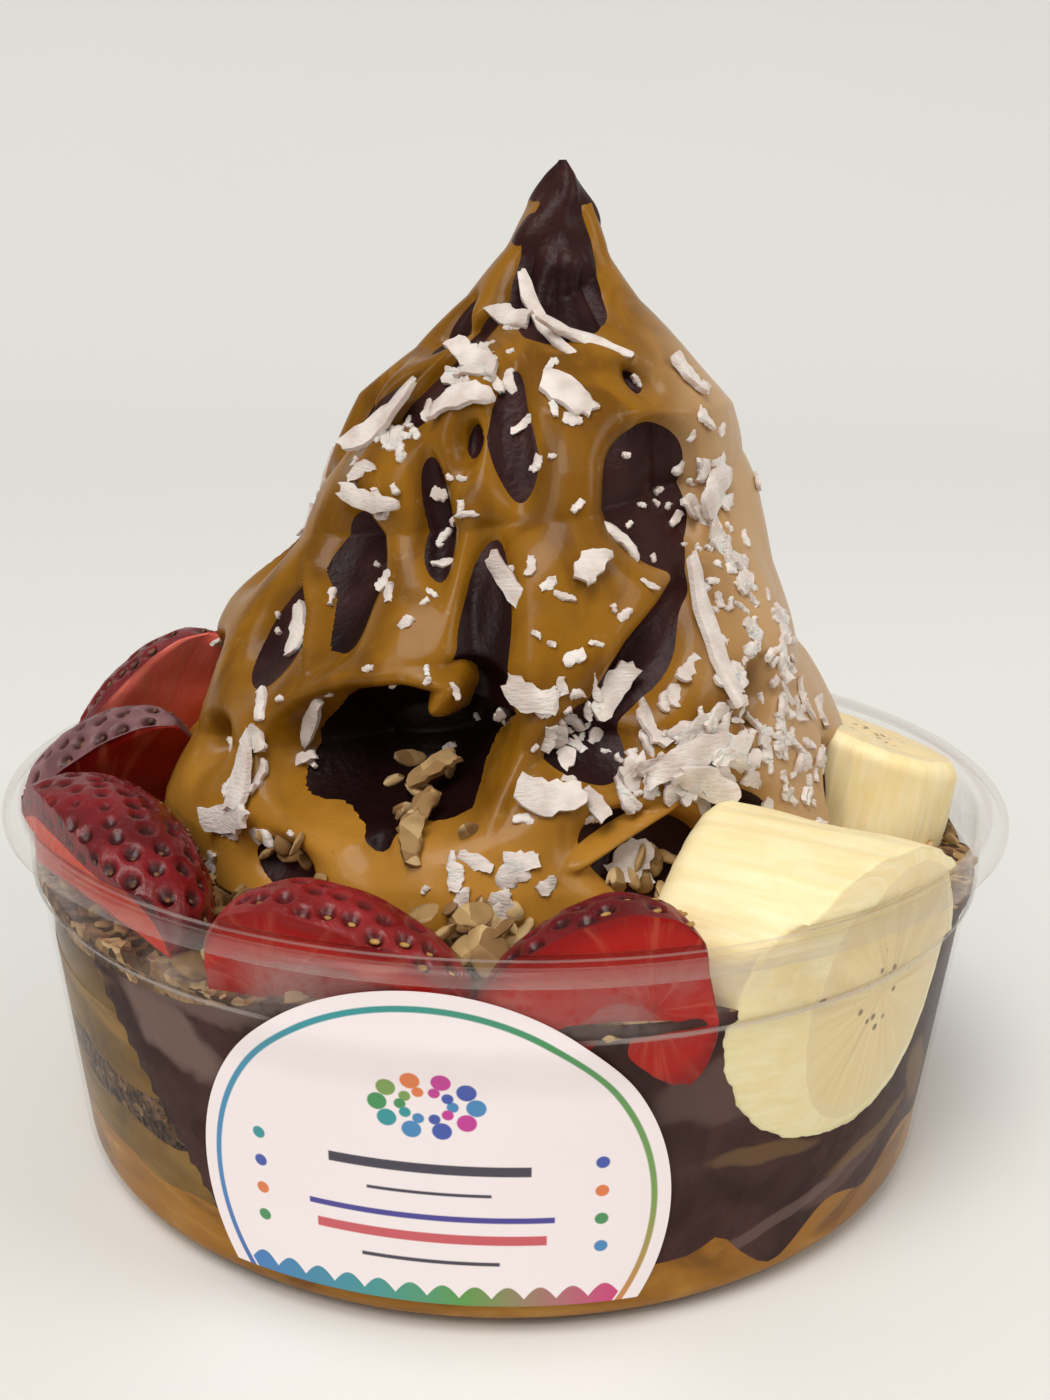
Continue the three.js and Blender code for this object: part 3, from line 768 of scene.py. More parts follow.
def crescent(low, high):
    """A thin block against the left wall, as deep as the side layers."""
    shape = bmesh.new()
    bmesh.ops.create_grid(shape, x_segments=CRESCENT_STEPS, y_segments=CRESCENT_ROWS, size=1)
    bmesh.ops.solidify(shape, geom=shape.faces[:], thickness=1)
    at = points_of(shape) * MM
    share = (at[:, 0] + 1) / 2
    azimuth = SIDE_MIDDLE + SIDE_HALF * PAST_ENDS * (2 * share - 1)
    turn = np.stack([np.cos(np.radians(azimuth)), np.sin(np.radians(azimuth))], 1)
    side = (at[:, 1] + 1) / 2
    depth_share = (at[:, 2] - at[:, 2].min()) / np.ptp(at[:, 2])
    plan = turn * ABOUT_AT_WALL
    height = low(*plan.T) + (high(*plan.T) - low(*plan.T)) * side
    depth = np.maximum(side_depth(azimuth, height), THINNEST)
    ended = np.where(depth < ENDS_UNDER, DIVE, 0)
    radius = inner_radius(height) + REACH_IN_WALL - depth * depth_share - ended
    move_points(shape, np.concatenate([turn * radius[:, None], height[:, None]], 1))
    return shape


side_low_shape = crescent(base_top, crumb_low)
crumb_shape = crescent(crumb_low, crumb_high)
side_high_shape = crescent(crumb_high, flat_at(SIDE_TOP))
print("each side band", len(crumb_shape.faces), "faces")

# %% [markdown]
# Peanut butter against plastic is smooth, marbled and a little translucent: paler where it is
# thin and browner where it is thick. The marbling is noise stretched along the wall, and the
# same recipe with other colours serves the base and the side bands.

# %% Peanut butter
def peanut_butter(name, dark, mid, pale, gloss):
    shade = Shade(name)
    spot = shade.place()
    flow = shade.noise(shade.stretch(spot, (1, 1, 2.6)), 0.018, 3, 0.5, 0.8)
    fine = shade.noise(spot, 0.0016, 3)
    tone = shade.mix(flow.ramp(0.32, 0.5), dark, mid)
    tone = shade.mix(flow.ramp(0.5, 0.72), tone, pale)
    tone = shade.mix(fine.ramp(0.62, 0.8) * 0.25, tone, dark)
    relief = shade.bump(flow + fine * 0.05, 0.0005)
    shade.done(shade.surface(
        Base_Color=tone, Roughness=fine * 0.2 + gloss, Specular_IOR_Level=0.08,
        Normal=relief,
    ))
    return shade.material


base_butter = peanut_butter(
    "peanut_butter_base", (0.19, 0.075, 0.008), (0.33, 0.14, 0.014), (0.45, 0.22, 0.035), 0.3,
)
side_butter = peanut_butter(
    "peanut_butter_side", (0.115, 0.062, 0.014), (0.185, 0.1, 0.02), (0.28, 0.16, 0.04), 0.35,
)
for name, shape, look, solid in (
    ("base_peanut_butter", base_shape, base_butter, "peanut_butter_base"),
    ("low_side_peanut_butter", side_low_shape, side_butter, "peanut_butter_side_low"),
    ("high_side_peanut_butter", side_high_shape, side_butter, "peanut_butter_side_high"),
):
    piece(name, shape, [look], [solid], sharp=50)

# %% [markdown]
# The crumb band is soaked granola: grains of many browns with dark gaps. A Voronoi pattern
# gives each grain its own tone, and the same cells raise the bump.

# %% Soaked crumbs and dry oats
def grains(name, dark, mid, pale, size, gloss):
    shade = Shade(name)
    spot = shade.place()
    cell = shade.cells(spot, size)
    own = shade.axes(cell.part("Color"))[0]
    tone = shade.mix(own.ramp(0.1, 0.6), dark, mid)
    tone = shade.mix(own.ramp(0.62, 1.0), tone, pale)
    cloud = shade.noise(spot, 0.006, 3)
    tone = shade.mix(cloud.ramp(0.45, 0.7) * 0.6, tone, dark)
    relief = shade.bump(cell.ramp(0.0, 0.7), 0.0008)
    shade.done(shade.surface(
        Base_Color=tone, Roughness=cloud * 0.4 + gloss, Specular_IOR_Level=0.15, Normal=relief,
    ))
    return shade.material


crumb_look = grains(
    "soaked_crumbs", (0.028, 0.013, 0.008), (0.11, 0.055, 0.024), (0.24, 0.135, 0.06), 0.0011, 0.3,
)
piece("soaked_crumb_band", crumb_shape, [crumb_look], ["crumb_band"], sharp=50)

# %% [markdown]
# The acai behind the wall is a dark purple brown. Where it froze against the plastic it has a
# grey, hazy skin, and streaks of peanut butter run through it. These are placed by azimuth and
# height on the wall, so the shader first turns its own coordinates into those two numbers.

# %% Acai against the wall
# Streaks on the wall: azimuth, height, half length, half thickness, lean, strength
BUTTER_STREAKS = [
    (-152, 41, 16, 2.6, 0.0, 0.75), (-139, 28.5, 4, 4, 0.6, 0.8), (-60, 23.5, 8, 1.6, -0.15, 0.4),
    (-30, 22, 5, 5, -0.9, 0.5), (-41, 17.5, 9, 1.6, 0.25, 0.5),
]
HAZE_STREAKS = [
    (-126, 38, 8, 5.5, -0.5, 0.8), (-122, 46, 10, 4, 0.0, 0.6), (-57, 11.5, 12, 1.3, 0.3, 0.5),
    (-46, 14, 8, 2.5, 0.3, 0.35), (-66, 36, 9, 5, 0.1, 0.35),
]

acai_wall = Shade("acai_at_wall")
spot = acai_wall.place()
x, y, z = acai_wall.axes(spot)
wall_azimuth = x.math("ARCTAN2", y, x) * (180 / math.pi)
wall_level = z / MM


def streak(shade, azimuth, height, half_length, half_thick, lean):
    """1 in the middle of a soft slanting smear on the wall."""
    wave = shade.noise(spot, 0.008, 2, 0.5, 0.5) * 1.6 - 0.8
    along = (wall_azimuth - azimuth) / half_length
    over = (wall_level - height - (wall_azimuth - azimuth) * lean) / half_thick + wave
    return (along ** 2 + over ** 2).ramp(1.25, 0.45)


body_noise = acai_wall.noise(spot, 0.01, 4, 0.6, 0.5)
tone = acai_wall.mix(body_noise.ramp(0.3, 0.7), (0.03, 0.011, 0.01), (0.068, 0.028, 0.024))
for azimuth, height, half_length, half_thick, lean, strength in HAZE_STREAKS:
    mask = streak(acai_wall, azimuth, height, half_length, half_thick, lean) * strength
    tone = acai_wall.mix(mask, tone, (0.2, 0.13, 0.11))
for azimuth, height, half_length, half_thick, lean, strength in BUTTER_STREAKS:
    mask = streak(acai_wall, azimuth, height, half_length, half_thick, lean) * strength
    tone = acai_wall.mix(mask, tone, (0.26, 0.155, 0.06))
frost = acai_wall.noise(spot, 0.0015, 3)
acai_wall.done(acai_wall.surface(
    Base_Color=tone, Roughness=frost * 0.3 + 0.4, Specular_IOR_Level=0.05,
    Normal=acai_wall.bump(body_noise + frost * 0.1, 0.0006),
))
piece("acai_fill", fill_shape, [acai_wall.material], ["acai_layer"], sharp=50)

# %% [markdown]
# ## Swirl and drizzle
# The swirl is soft-served through a star nozzle, so it is a coil of fluted rope that narrows to
# a torn tip. Sculpting it by hand could follow the photo closely but would not repeat. Here a
# turned shape is pushed in and out by formulas: a groove between the turns of the coil, a
# valley between the flutes, and a hollow wherever the drizzle leaves the acai bare. The packed
# model's swirl follows the same formulas; the ropes of drizzle over the bare places and the
# teeth of the torn tip are too fine for it, and are added here.

# %% Sizes of the swirl
SWIRL_OUTLINE = np.array([
    (46, 57.5), (57, 56), (68, 52.3), (78, 48.4), (85, 44.6), (93, 39.6), (101, 36), (109, 33),
    (117, 29.2), (124, 21.8), (132, 13), (139, 8), (146, 4.8), (150, 2.4), (152, 0.7),
])
SWIRL_FOOT = 49.8
TIP_HEIGHT = 151.9
TIP_SHIFT = 6.5
SHIFT_DONE = 140
SWIRL_STEPS = 420
SWIRL_ROWS = 234
COIL_PITCH = 29
COIL_START = 72
COIL_START_AZIMUTH = -105
COIL_DEPTH = 3
FLUTES = 12
FLUTE_DEPTH = 1.8
FLUTE_TWIST = -0.45
DRIZZLE_THICKNESS = 2
DRIZZLE_EDGE = 4.5
EDGE_ROUND = 2.4
SOFT_JOIN = 0.8
ROPE_CREST = 3.2
CROWN_SAG = 1.6
TORN_FROM = 134
TORN_FULLY = 141

# Bare places in the drizzle: azimuth, height, half width, half height, lean, depth of the acai
BARE_PLACES = [
    (-86, 138.5, 7, 12, 0, 0.5), (-90, 153, 9, 6.5, 0, 0.3), (-132, 121, 4.4, 9, 20, 1.5),
    (-148, 116, 3.4, 5, 0, 1.5), (-109, 112.7, 1.5, 2.8, 12, 1.5), (-98, 113.6, 3, 9.6, 18, 1.2),
    (-56, 106, 9.4, 9.8, -9, 1.2), (-114, 101.9, 2.1, 10.4, 22, 1.5), (-97, 90.6, 4.2, 9.4, 4, 1.5),
    (-110, 71.6, 19.4, 9, 5, 13), (-98, 79.5, 6, 5.5, 0, 5), (-64, 85.2, 3.6, 11.4, -46, 2),
    (-77, 73.8, 6.8, 4.2, -17, 2), (-68, 59.6, 10.5, 6, -18, 3), (-49, 63.1, 6.1, 2.6, -30, 2),
    (-43, 78, 2.2, 5.2, -20, 1.5), (-134, 92.8, 5.2, 11.2, 36, 2), (-144, 83.6, 5.4, 7, 36, 2),
    (-146, 68.3, 3.4, 2.4, 40, 1.5), (-124, 55.8, 5.4, 3, -5, 2), (-109, 63, 2.1, 3.8, 24, 2),
    (-54, 120.3, 1.9, 1.5, -30, 2),
    (-160, 128, 3, 5, 10, 1.5), (-166, 115, 4.5, 6, 15, 2), (-172, 95, 5, 8, 20, 2.5),
    (-166, 74, 6, 6, 20, 2.5),
]
# Ropes of drizzle over the bare places: half width, then azimuth and height of each bend
ROPES = [
    (2.6, (-132, 77), (-121, 81.8), (-110, 83.3), (-102, 81.5)), (3.3, (-101.5, 81), (-103, 78.4)),
    (1.3, (-149, 94), (-138, 88.3), (-129, 81)), (1.5, (-58, 68.5), (-69, 64.1), (-80, 60)),
    (3.4, (-80, 84), (-86, 75), (-90.5, 68), (-93, 59)), (1.1, (-137, 124), (-138, 112)),
]
FAR_PLACES = 15
GOLDEN_ANGLE = 137.5
for place in range(FAR_PLACES):
    azimuth = -20 + (place * GOLDEN_ANGLE) % 210
    height = 60 + 62 * place / (FAR_PLACES - 1)
    lean = 24 * math.sin(place * 2)
    BARE_PLACES.append((azimuth, height, 5.2 - place % 3, 7 + place % 2, lean, 1 + place % 3))
print(len(BARE_PLACES), "bare places and", len(ROPES), "ropes")

# %% Outline, unevenness and ropes
def swirl_radius(height):
    return np.interp(height, *SWIRL_OUTLINE.T)


def swirl_centre(height):
    return TIP_SHIFT * np.clip((height - COIL_START) / (SHIFT_DONE - COIL_START), 0, 1)


def wobble(x, y, z, size):
    """Smooth unevenness between about -1 and 1, with hills of a size in millimetres."""
    a = np.sin(x / size * 2.1 + 1.3 * np.sin(z / size * 1.7))
    b = np.sin(y / size * 2.3 + 1.1 * np.sin(x / size * 1.9 + 2))
    c = np.sin(z / size * 1.9 + 1.2 * np.sin(y / size * 1.6 + 4))
    return (a + b + c) / 3


def rope_distance(azimuth, height, bends):
    """How far a point of the swirl lies from a line of bends, in millimetres."""
    nearest = 99 + 0 * height
    for (start, low), (end, high) in zip(bends, bends[1:]):
        scale = math.radians(1) * float(swirl_radius((low + high) / 2))
        along = np.array([(end - start) * scale, high - low])
        x, y = turned_by(azimuth, start) * scale, height - low
        share = np.clip((x * along[0] + y * along[1]) / (along @ along), 0, 1)
        nearest = np.minimum(nearest, np.hypot(x - share * along[0], y - share * along[1]))
    return nearest


print("the tip leans", TIP_SHIFT, "mm to the right")

# %% The two faces of the swirl
def swirl_faces(azimuth, height):
    """The radius of the bare acai and that of the drizzle, from the swirl's own centre."""
    outline = swirl_radius(height)
    soft = np.clip(outline / 20, 0.12, 1)
    phase = (height - COIL_START) / COIL_PITCH - (azimuth - COIL_START_AZIMUTH) / 360
    groove = np.abs(2 * (phase - np.floor(phase)) - 1) ** 3
    flute_phase = (azimuth - FLUTE_TWIST * (height - 100)) * FLUTES / 360
    valley = 1 - np.abs(np.cos(np.pi * flute_phase))
    around = np.radians(azimuth)
    waves = 0.8 * np.sin(3 * around + height / 8) + 0.6 * np.sin(5 * around - height / 6)
    hollow = 0 * outline
    covered = 0 * outline
    for middle, level_at, half_width, half_height, lean, depth in BARE_PLACES:
        across = np.radians(turned_by(azimuth, middle)) * swirl_radius(level_at)
        up = height - level_at
        sin, cos = math.sin(math.radians(lean)), math.cos(math.radians(lean))
        share = np.hypot((across * cos + up * sin) / half_width, (up * cos - across * sin) / half_height)
        covered += np.exp(-np.minimum((share - 1) * min(half_width, half_height), 40) / SOFT_JOIN)
        hollow = np.maximum(hollow, depth * np.clip(1.25 - share * share, 0, 1))
    x, y = outline * np.cos(around), outline * np.sin(around)
    ripple = wobble(x, y, height, 5.0)
    margin = -SOFT_JOIN * np.log(covered + 1e-9) + 0.5 * waves + 0.6 * ripple
    for half, *bends in ROPES:
        away = rope_distance(azimuth, height, bends) / half
        margin = np.maximum(margin, ROPE_CREST * (1 - away))
    depth = DRIZZLE_THICKNESS + COIL_DEPTH * groove + FLUTE_DEPTH * valley + hollow
    crown = CROWN_SAG * groove + 0.5 * wobble(x, y, height / 2.2, 6.5)
    fall = (1 - np.clip(margin / DRIZZLE_EDGE, 0, 1)) ** EDGE_ROUND
    sunk = np.clip(-margin, 0, 1)
    torn = smoothstep(height, TORN_FROM, TORN_FULLY)
    teeth = 2.4 * np.sin(2 * around + height / 3) + 1.8 * np.sin(3 * around - height / 2 + 1)
    depth = depth + torn * (teeth - 0.9 * FLUTE_DEPTH * valley)
    acai = outline - soft * (depth - waves)
    sauce = outline - soft * (crown + (depth - crown) * fall - waves + 1.2 * sunk)
    return np.maximum(acai, 0.4), np.maximum(sauce, 0.3)


# The outermost radius once for each degree and half millimetre, to look up later
LOOKED_UP_STEP = 0.5
degrees, heights = np.arange(-180, 180), np.arange(SWIRL_FOOT, TIP_HEIGHT, LOOKED_UP_STEP)
OUTERMOST = np.maximum(*swirl_faces(*np.meshgrid(degrees, heights, indexing="ij")))
print("looked up", OUTERMOST.shape, "radii, the widest", round(float(OUTERMOST.max()), 1), "mm")


def swirl_point(azimuth, height, lift=0.0):
    """The outermost point of the swirl, as a vector in millimetres."""
    row = min(max(round((height - SWIRL_FOOT) / LOOKED_UP_STEP), 0), OUTERMOST.shape[1] - 1)
    radius = OUTERMOST[round(azimuth + 180) % 360, row] + lift
    around = math.radians(azimuth)
    centre = float(swirl_centre(height))
    return Vector((centre + radius * math.cos(around), radius * math.sin(around), height))

# %% Turn the acai and the drizzle
levels = np.linspace(SWIRL_FOOT, TIP_HEIGHT, SWIRL_ROWS)


def swirl_shape(face):
    """One face of the swirl, 0 for the acai and 1 for the drizzle, as a closed bmesh."""
    profile = [(0, levels[0]), *((1, height) for height in levels), (0, levels[-1])]
    shape = spun(profile, SWIRL_STEPS)
    at = points_of(shape)
    azimuth = np.degrees(np.arctan2(at[:, 1], at[:, 0]))
    on_axis = np.hypot(at[:, 0], at[:, 1]) < 0.5
    radius = np.where(on_axis, 0, swirl_faces(azimuth, at[:, 2])[face])
    around = np.radians(azimuth)
    x = swirl_centre(at[:, 2]) + radius * np.cos(around)
    move_points(shape, np.stack([x, radius * np.sin(around), at[:, 2]], 1))
    return shape


acai_shape = swirl_shape(0)
drizzle_shape = swirl_shape(1)
print("each face of the swirl", len(drizzle_shape.faces), "faces")

# %% [markdown]
# Frozen acai is almost black with a purple bloom where it faces the light, and its face is
# slightly porous; round the deep cave at the front it is painted near black, as painted shade.
# The drizzle is glossy amber, paler and frothy low down, and painted paler to the right as
# painted light from that side.

# %% Acai look
# The middle of the deep cave at the front, in metres, where hardly any light comes in: the acai round it
# is painted near black as painted shade
CAVE_SHADE_AT = (-0.012, -0.035, 0.073)
acai = Shade("frozen_acai")
spot = acai.place()
cloud = acai.noise(spot, 0.012, 3)
pores = acai.noise(spot, 0.0009, 2)
bloom = acai.noise(acai.stretch(spot, (1, 1, 0.5)), 0.006, 4, 0.6)
tone = acai.mix(cloud.ramp(0.35, 0.65), (0.016, 0.004, 0.004), (0.036, 0.011, 0.01))
tone = acai.mix(bloom.ramp(0.55, 0.75) * 0.5, tone, (0.06, 0.02, 0.018))
x, y, z = acai.axes(spot)
from_cave = ((x - CAVE_SHADE_AT[0]) ** 2 + (y - CAVE_SHADE_AT[1]) ** 2 + (z - CAVE_SHADE_AT[2]) ** 2) ** 0.5
# Painted shade: the acai turns near black towards the middle of the cave.
tone = acai.mix(from_cave.ramp(0.026, 0.014) * 0.8, tone, (0.004, 0.001, 0.001))
acai.done(acai.surface(
    Base_Color=tone, Roughness=pores * 0.25 + 0.26, Specular_IOR_Level=0.12,
    Normal=acai.bump(pores * 0.5 + bloom * 0.6, 0.00025),
))
piece("swirl_of_acai", acai_shape, [acai.material], ["acai_swirl"], sharp=180)

# %% Drizzle look
drizzle = Shade("peanut_butter_drizzle")
spot = drizzle.place()
x, y, z = drizzle.axes(spot)
flow = drizzle.noise(drizzle.stretch(spot, (1, 1, 0.35)), 0.009, 3, 0.5, 0.6)
speck = drizzle.noise(spot, 0.0007, 2)
lift = drizzle.noise(spot, 0.02, 2)
tone = drizzle.mix(flow.ramp(0.32, 0.62), (0.155, 0.06, 0.002), (0.27, 0.115, 0.006))
# Painted light: the drizzle is painted paler towards the right, where light falls from that side.
painted_light_right = ((x / MM) + (y / MM) * 0.4 + lift * 30).ramp(22, 46)
low_down = ((z / MM) + lift * 26).ramp(88, 68)
tone = drizzle.mix(low_down * 0.75, tone, (0.5, 0.235, 0.035))
tone = drizzle.mix(painted_light_right, tone, (0.5, 0.31, 0.15))
froth = drizzle.noise(spot, 0.0045, 4, 0.7)
tone = drizzle.mix(froth.ramp(0.6, 0.75) * 0.25, tone, (0.52, 0.36, 0.2))
tone = drizzle.mix(speck.ramp(0.66, 0.74) * 0.3, tone, (0.16, 0.06, 0.012))
drizzle.done(drizzle.surface(
    Base_Color=tone, Roughness=froth * 0.25 + 0.22, Coat_Weight=0.12, Coat_Roughness=0.1,
    Specular_IOR_Level=0.12,
    Normal=drizzle.bump(flow * 0.5 + speck * 0.03, 0.0006),
))
piece("drizzle", drizzle_shape, [drizzle.material], ["acai_swirl"], sharp=180)

# %% [markdown]
# ## Coconut
# Dried coconut is shaved into thin ragged strips that curl as they dry. Each flake is a small
# grid pulled to a ragged outline, curled, and given thickness; it then lies on the drizzle, on
# a frame made of the surface's own directions. The large flakes stand where they show, and the
# crumbs are scattered in patches by a seeded draw.

# %% Places of the coconut
# Large flakes: azimuth, height, length, width, turn from the level
FLAKES = [
    (-97, 129, 19, 2.4, -57), (-72, 127, 15, 2.2, -26), (-83, 119.5, 9, 5, -38),
    (-125, 130, 10, 3.4, -20), (-118, 124, 11, 4, -30), (-137, 115, 14, 4.5, 50),
    (-114, 119, 10, 4, 27), (-131, 104, 12, 3.6, -5),
    (-141, 85, 9, 5, -60), (-92, 94, 12, 3.4, -54), (-69, 101, 9, 2, -44), (-77, 98, 6, 4.5, 45),
    (-34, 106, 11, 5, 40), (-52, 88, 24, 3.4, -95), (-37, 122, 7, 3, -60), (-87, 81, 8, 4.5, -23),
    (-71, 81, 9, 4.5, 49), (-60, 73, 16, 5, 12), (-58, 69, 12, 4.5, -25), (-83, 69, 9, 5.5, -10),
    (-70, 59, 7, 5, 35), (-134, 68, 12, 4, -70), (-129, 74, 11, 3.4, 60), (-134, 61, 11, 4.5, 15),
]
# Patches of small flakes: azimuth, height, spread each way, number, longest
PATCHES = [
    (-60, 72, 11, 5, 50, 8), (-118, 123, 8, 5, 30, 6), (-85, 119, 6, 4, 12, 5), (-134, 112, 7, 5, 16, 6),
    (-38, 84, 9, 22, 150, 5), (-134, 66, 6, 8, 18, 6), (-80, 76, 7, 6, 26, 6), (-85, 60, 22, 5, 16, 5),
    (-70, 88, 20, 16, 20, 4), (-105, 96, 30, 22, 40, 3.5), (60, 85, 70, 26, 110, 8),
    (150, 90, 50, 26, 60, 8),
]
FLAKE_CELLS = (9, 3)
FLAKE_THICKNESS = 1.2
CRUMB_THICKNESS = 0.85
LOWEST_CRUMB = 52
HIGHEST_CRUMB = 128
dice = random.Random(11)
print(len(FLAKES), "large flakes and", len(PATCHES), "patches")

# %% Cut a flake
def flake(length, width, thickness=CRUMB_THICKNESS):
    """A ragged curled strip in its own frame, length along X and face up, in millimetres."""
    shape = bmesh.new()
    bmesh.ops.create_grid(shape, x_segments=FLAKE_CELLS[0], y_segments=FLAKE_CELLS[1], size=1)
    curl = dice.uniform(-0.9, 1.6) * length / 12
    twist = dice.uniform(-0.5, 0.5)
    sway = dice.uniform(-0.12, 0.12) * length
    for vertex in shape.verts:
        x, y = vertex.co.x, vertex.co.y
        torn = dice.uniform(-0.4, 0.25) if max(abs(x), abs(y)) > 0.9 else 0
        along = x * length / 2 + (torn + dice.uniform(-0.1, 0.1)) * min(width, length / 4) * abs(x)
        side = y * (1 - 0.3 * x * x + torn) * width / 2 + sway * x * x
        bend = curl * (x * x - 0.3) + twist * x * side + dice.uniform(-0.22, 0.22)
        vertex.co = Vector((along, side, bend)) * MM
    bmesh.ops.solidify(shape, geom=shape.faces[:], thickness=thickness * MM)
    axes = {"use_axis_x": True, "use_axis_y": True, "use_axis_z": True}
    bmesh.ops.smooth_vert(shape, verts=shape.verts, factor=0.45, **axes)
    return shape


print("a flake starts as a grid of", FLAKE_CELLS, "cells")

# %% Lay the flakes on the swirl
def lay(shape, azimuth, height, turn, lift, rock=22):
    """Puts a flake onto the swirl, turned by an angle from the level."""
    step = 2.5
    up = (swirl_point(azimuth, height + step) - swirl_point(azimuth, height - step)).normalized()
    around = math.radians(azimuth)
    east = Vector((-math.sin(around), math.cos(around), 0))
    slope = min(max(-up.xy.dot(Vector((math.cos(around), math.sin(around)))), -0.2), 0.9)
    out = Vector((math.cos(around), math.sin(around), slope)).normalized()
    frame_of = Matrix((east, out.cross(east), out)).transposed().to_4x4()
    place = Matrix.Translation(swirl_point(azimuth, height, lift) * MM)
    spin = Matrix.Rotation(math.radians(turn), 4, "Z")
    nod = Matrix.Rotation(math.radians(dice.uniform(-rock, rock)), 4, "X")
    bmesh.ops.transform(shape, matrix=place @ frame_of @ spin @ nod, verts=shape.verts)
    return shape


flakes = []
for azimuth, height, length, width, turn in FLAKES:
    large = flake(length, width, FLAKE_THICKNESS)
    flakes.append(lay(large, azimuth, height, turn, 1.5, 9))
for azimuth, height, wide, tall, number, longest in PATCHES:
    for _ in range(number):
        at = (azimuth + dice.gauss(0, wide / 1.6), height + dice.gauss(0, tall / 1.6))
        at = (at[0], min(max(at[1], LOWEST_CRUMB), HIGHEST_CRUMB))
        length = longest * dice.uniform(0.3, 1.0) ** 1.5
        width = length * dice.uniform(0.3, 0.75)
        flakes.append(lay(flake(max(length, 1.3), max(width, 0.9)), *at, dice.uniform(-90, 90), 0.5))
coconut_shape = joined(flakes)
print(len(flakes), "flakes")

# %% [markdown]
# Coconut is off-white with a pinkish warmth from the room, a little translucent at thin edges,
# and matt. A fine stretched noise gives its fibres.

# %% Coconut look
coconut = Shade("dried_coconut")
spot = coconut.place()
fibre = coconut.noise(coconut.stretch(spot, (1, 1, 3)), 0.0012, 3)
patch = coconut.noise(spot, 0.004, 2)
tone = coconut.mix(patch.ramp(0.3, 0.7), (0.6, 0.51, 0.46), (0.78, 0.71, 0.66))
coconut.done(coconut.surface(
    Base_Color=tone, Roughness=fibre * 0.3 + 0.45, Subsurface_Weight=0.2,
    Subsurface_Scale=0.001, Normal=coconut.bump(fibre, 0.0002),
))
piece("coconut_flakes", coconut_shape, [coconut.material], ["acai_swirl"], sharp=70)

# %% [markdown]
# ## Granola
# The granola is a layer of toasted oats under the swirl. Modelling every oat would cost much
# and show little, so the layer is a core with a grainy relief, and loose oats and small
# clusters lie on it where it is open to view.

# %% Granola bed
granola_shape = layer(fill_top, granola_top, BED_ROWS)
granola_look = grains(
    "toasted_oats", (0.07, 0.035, 0.018), (0.3, 0.17, 0.075), (0.55, 0.37, 0.19), 0.0018, 0.5,
)
piece("granola_bed", granola_shape, [granola_look], ["granola"], sharp=60)

# %% Shape of an oat
# Flat loose oats and rounder clumps that are dropped where the bed is open, and its radii
OATS = 430
CLUMPS = 120
OPEN_FROM = 55
OPEN_TO = 73.5
CLUMPS_TO = 72


def oat(size, flat):
    """A rolled oat or crumb: a small ball pressed and dented."""
    shape = bmesh.new()
    bmesh.ops.create_icosphere(shape, subdivisions=2, radius=1)
    fold = dice.uniform(-0.5, 0.5)
    for vertex in shape.verts:
        vertex.co *= dice.uniform(0.9, 1.08)
        vertex.co.z += fold * vertex.co.x ** 2
    scale = Matrix.Diagonal((size * MM, size * dice.uniform(0.55, 0.8) * MM, size * flat * MM, 1))
    bmesh.ops.transform(shape, matrix=scale, verts=shape.verts)
    return shape


def dropped(shape, azimuth, radius, height, lean):
    """Puts a crumb down near the wall with a random turn."""
    turns = Euler((dice.gauss(0, lean), dice.gauss(0, lean), dice.uniform(0, FULL_TURN)))
    around = math.radians(azimuth)
    place = Vector((radius * math.cos(around), radius * math.sin(around), height)) * MM
    matrix = Matrix.Translation(place) @ turns.to_matrix().to_4x4()
    bmesh.ops.transform(shape, matrix=matrix, verts=shape.verts)
    return shape


print(OATS, "oats and", CLUMPS, "clumps to drop")

# %% Loose oats over the bed
crumbs = []
for number in range(OATS + CLUMPS):
    azimuth = dice.uniform(-180, 180)
    radius = math.sqrt(dice.uniform(OPEN_FROM ** 2, OPEN_TO ** 2))
    around = math.radians(azimuth)
    top = float(granola_top(radius * math.cos(around), radius * math.sin(around)))
    if number < OATS:
        loose = oat(dice.uniform(1.6, 3.4), 0.28)
        crumbs.append(dropped(loose, azimuth, radius, top + dice.uniform(0, 1.6), 0.5))
    else:
        loose = oat(dice.uniform(1.5, 2.8), 0.75)
        crumbs.append(dropped(loose, azimuth, min(radius, CLUMPS_TO), top + 0.6, 1.5))
print(len(crumbs), "crumbs on the bed")

# %% Oats in the drizzle and in the cave
# Oats caught in the drizzle at the foot: azimuth, height, number
CAUGHT_OATS = [
    (-107, 65.5, 9), (-91, 52.5, 16), (-122, 57, 7), (-70, 55.5, 12), (60, 60, 20), (160, 58, 16),
]
for azimuth, height, number in CAUGHT_OATS:
    for _ in range(number):
        at = swirl_point(azimuth + dice.gauss(0, 4), height + dice.gauss(0, 2), 0.7)
        turns = Euler([dice.uniform(0, FULL_TURN) for _ in range(3)]).to_matrix().to_4x4()
        caught = oat(dice.uniform(1.2, 3.2), 0.25)
        bmesh.ops.transform(caught, matrix=Matrix.Translation(at * MM) @ turns, verts=caught.verts)
        crumbs.append(caught)
# Large oats at the foot between the front berries: azimuth, radius, height, size
LARGE_OATS = [
    (-97, 65, 54.5, 3.8), (-94, 67, 53.5, 3.2), (-91, 68, 54, 4.0), (-99, 64, 57, 2.8),
    (-88, 68, 53, 3.4), (-93, 64, 57.5, 3.0), (-96, 68, 52.5, 3.4), (-90, 66, 56.5, 2.6),
    (-69, 62, 57, 3.4), (-72, 64, 56, 2.8),
]
for azimuth, radius, height, size in LARGE_OATS:
    crumbs.append(dropped(oat(size, 0.2), azimuth, radius, height, 0.7))
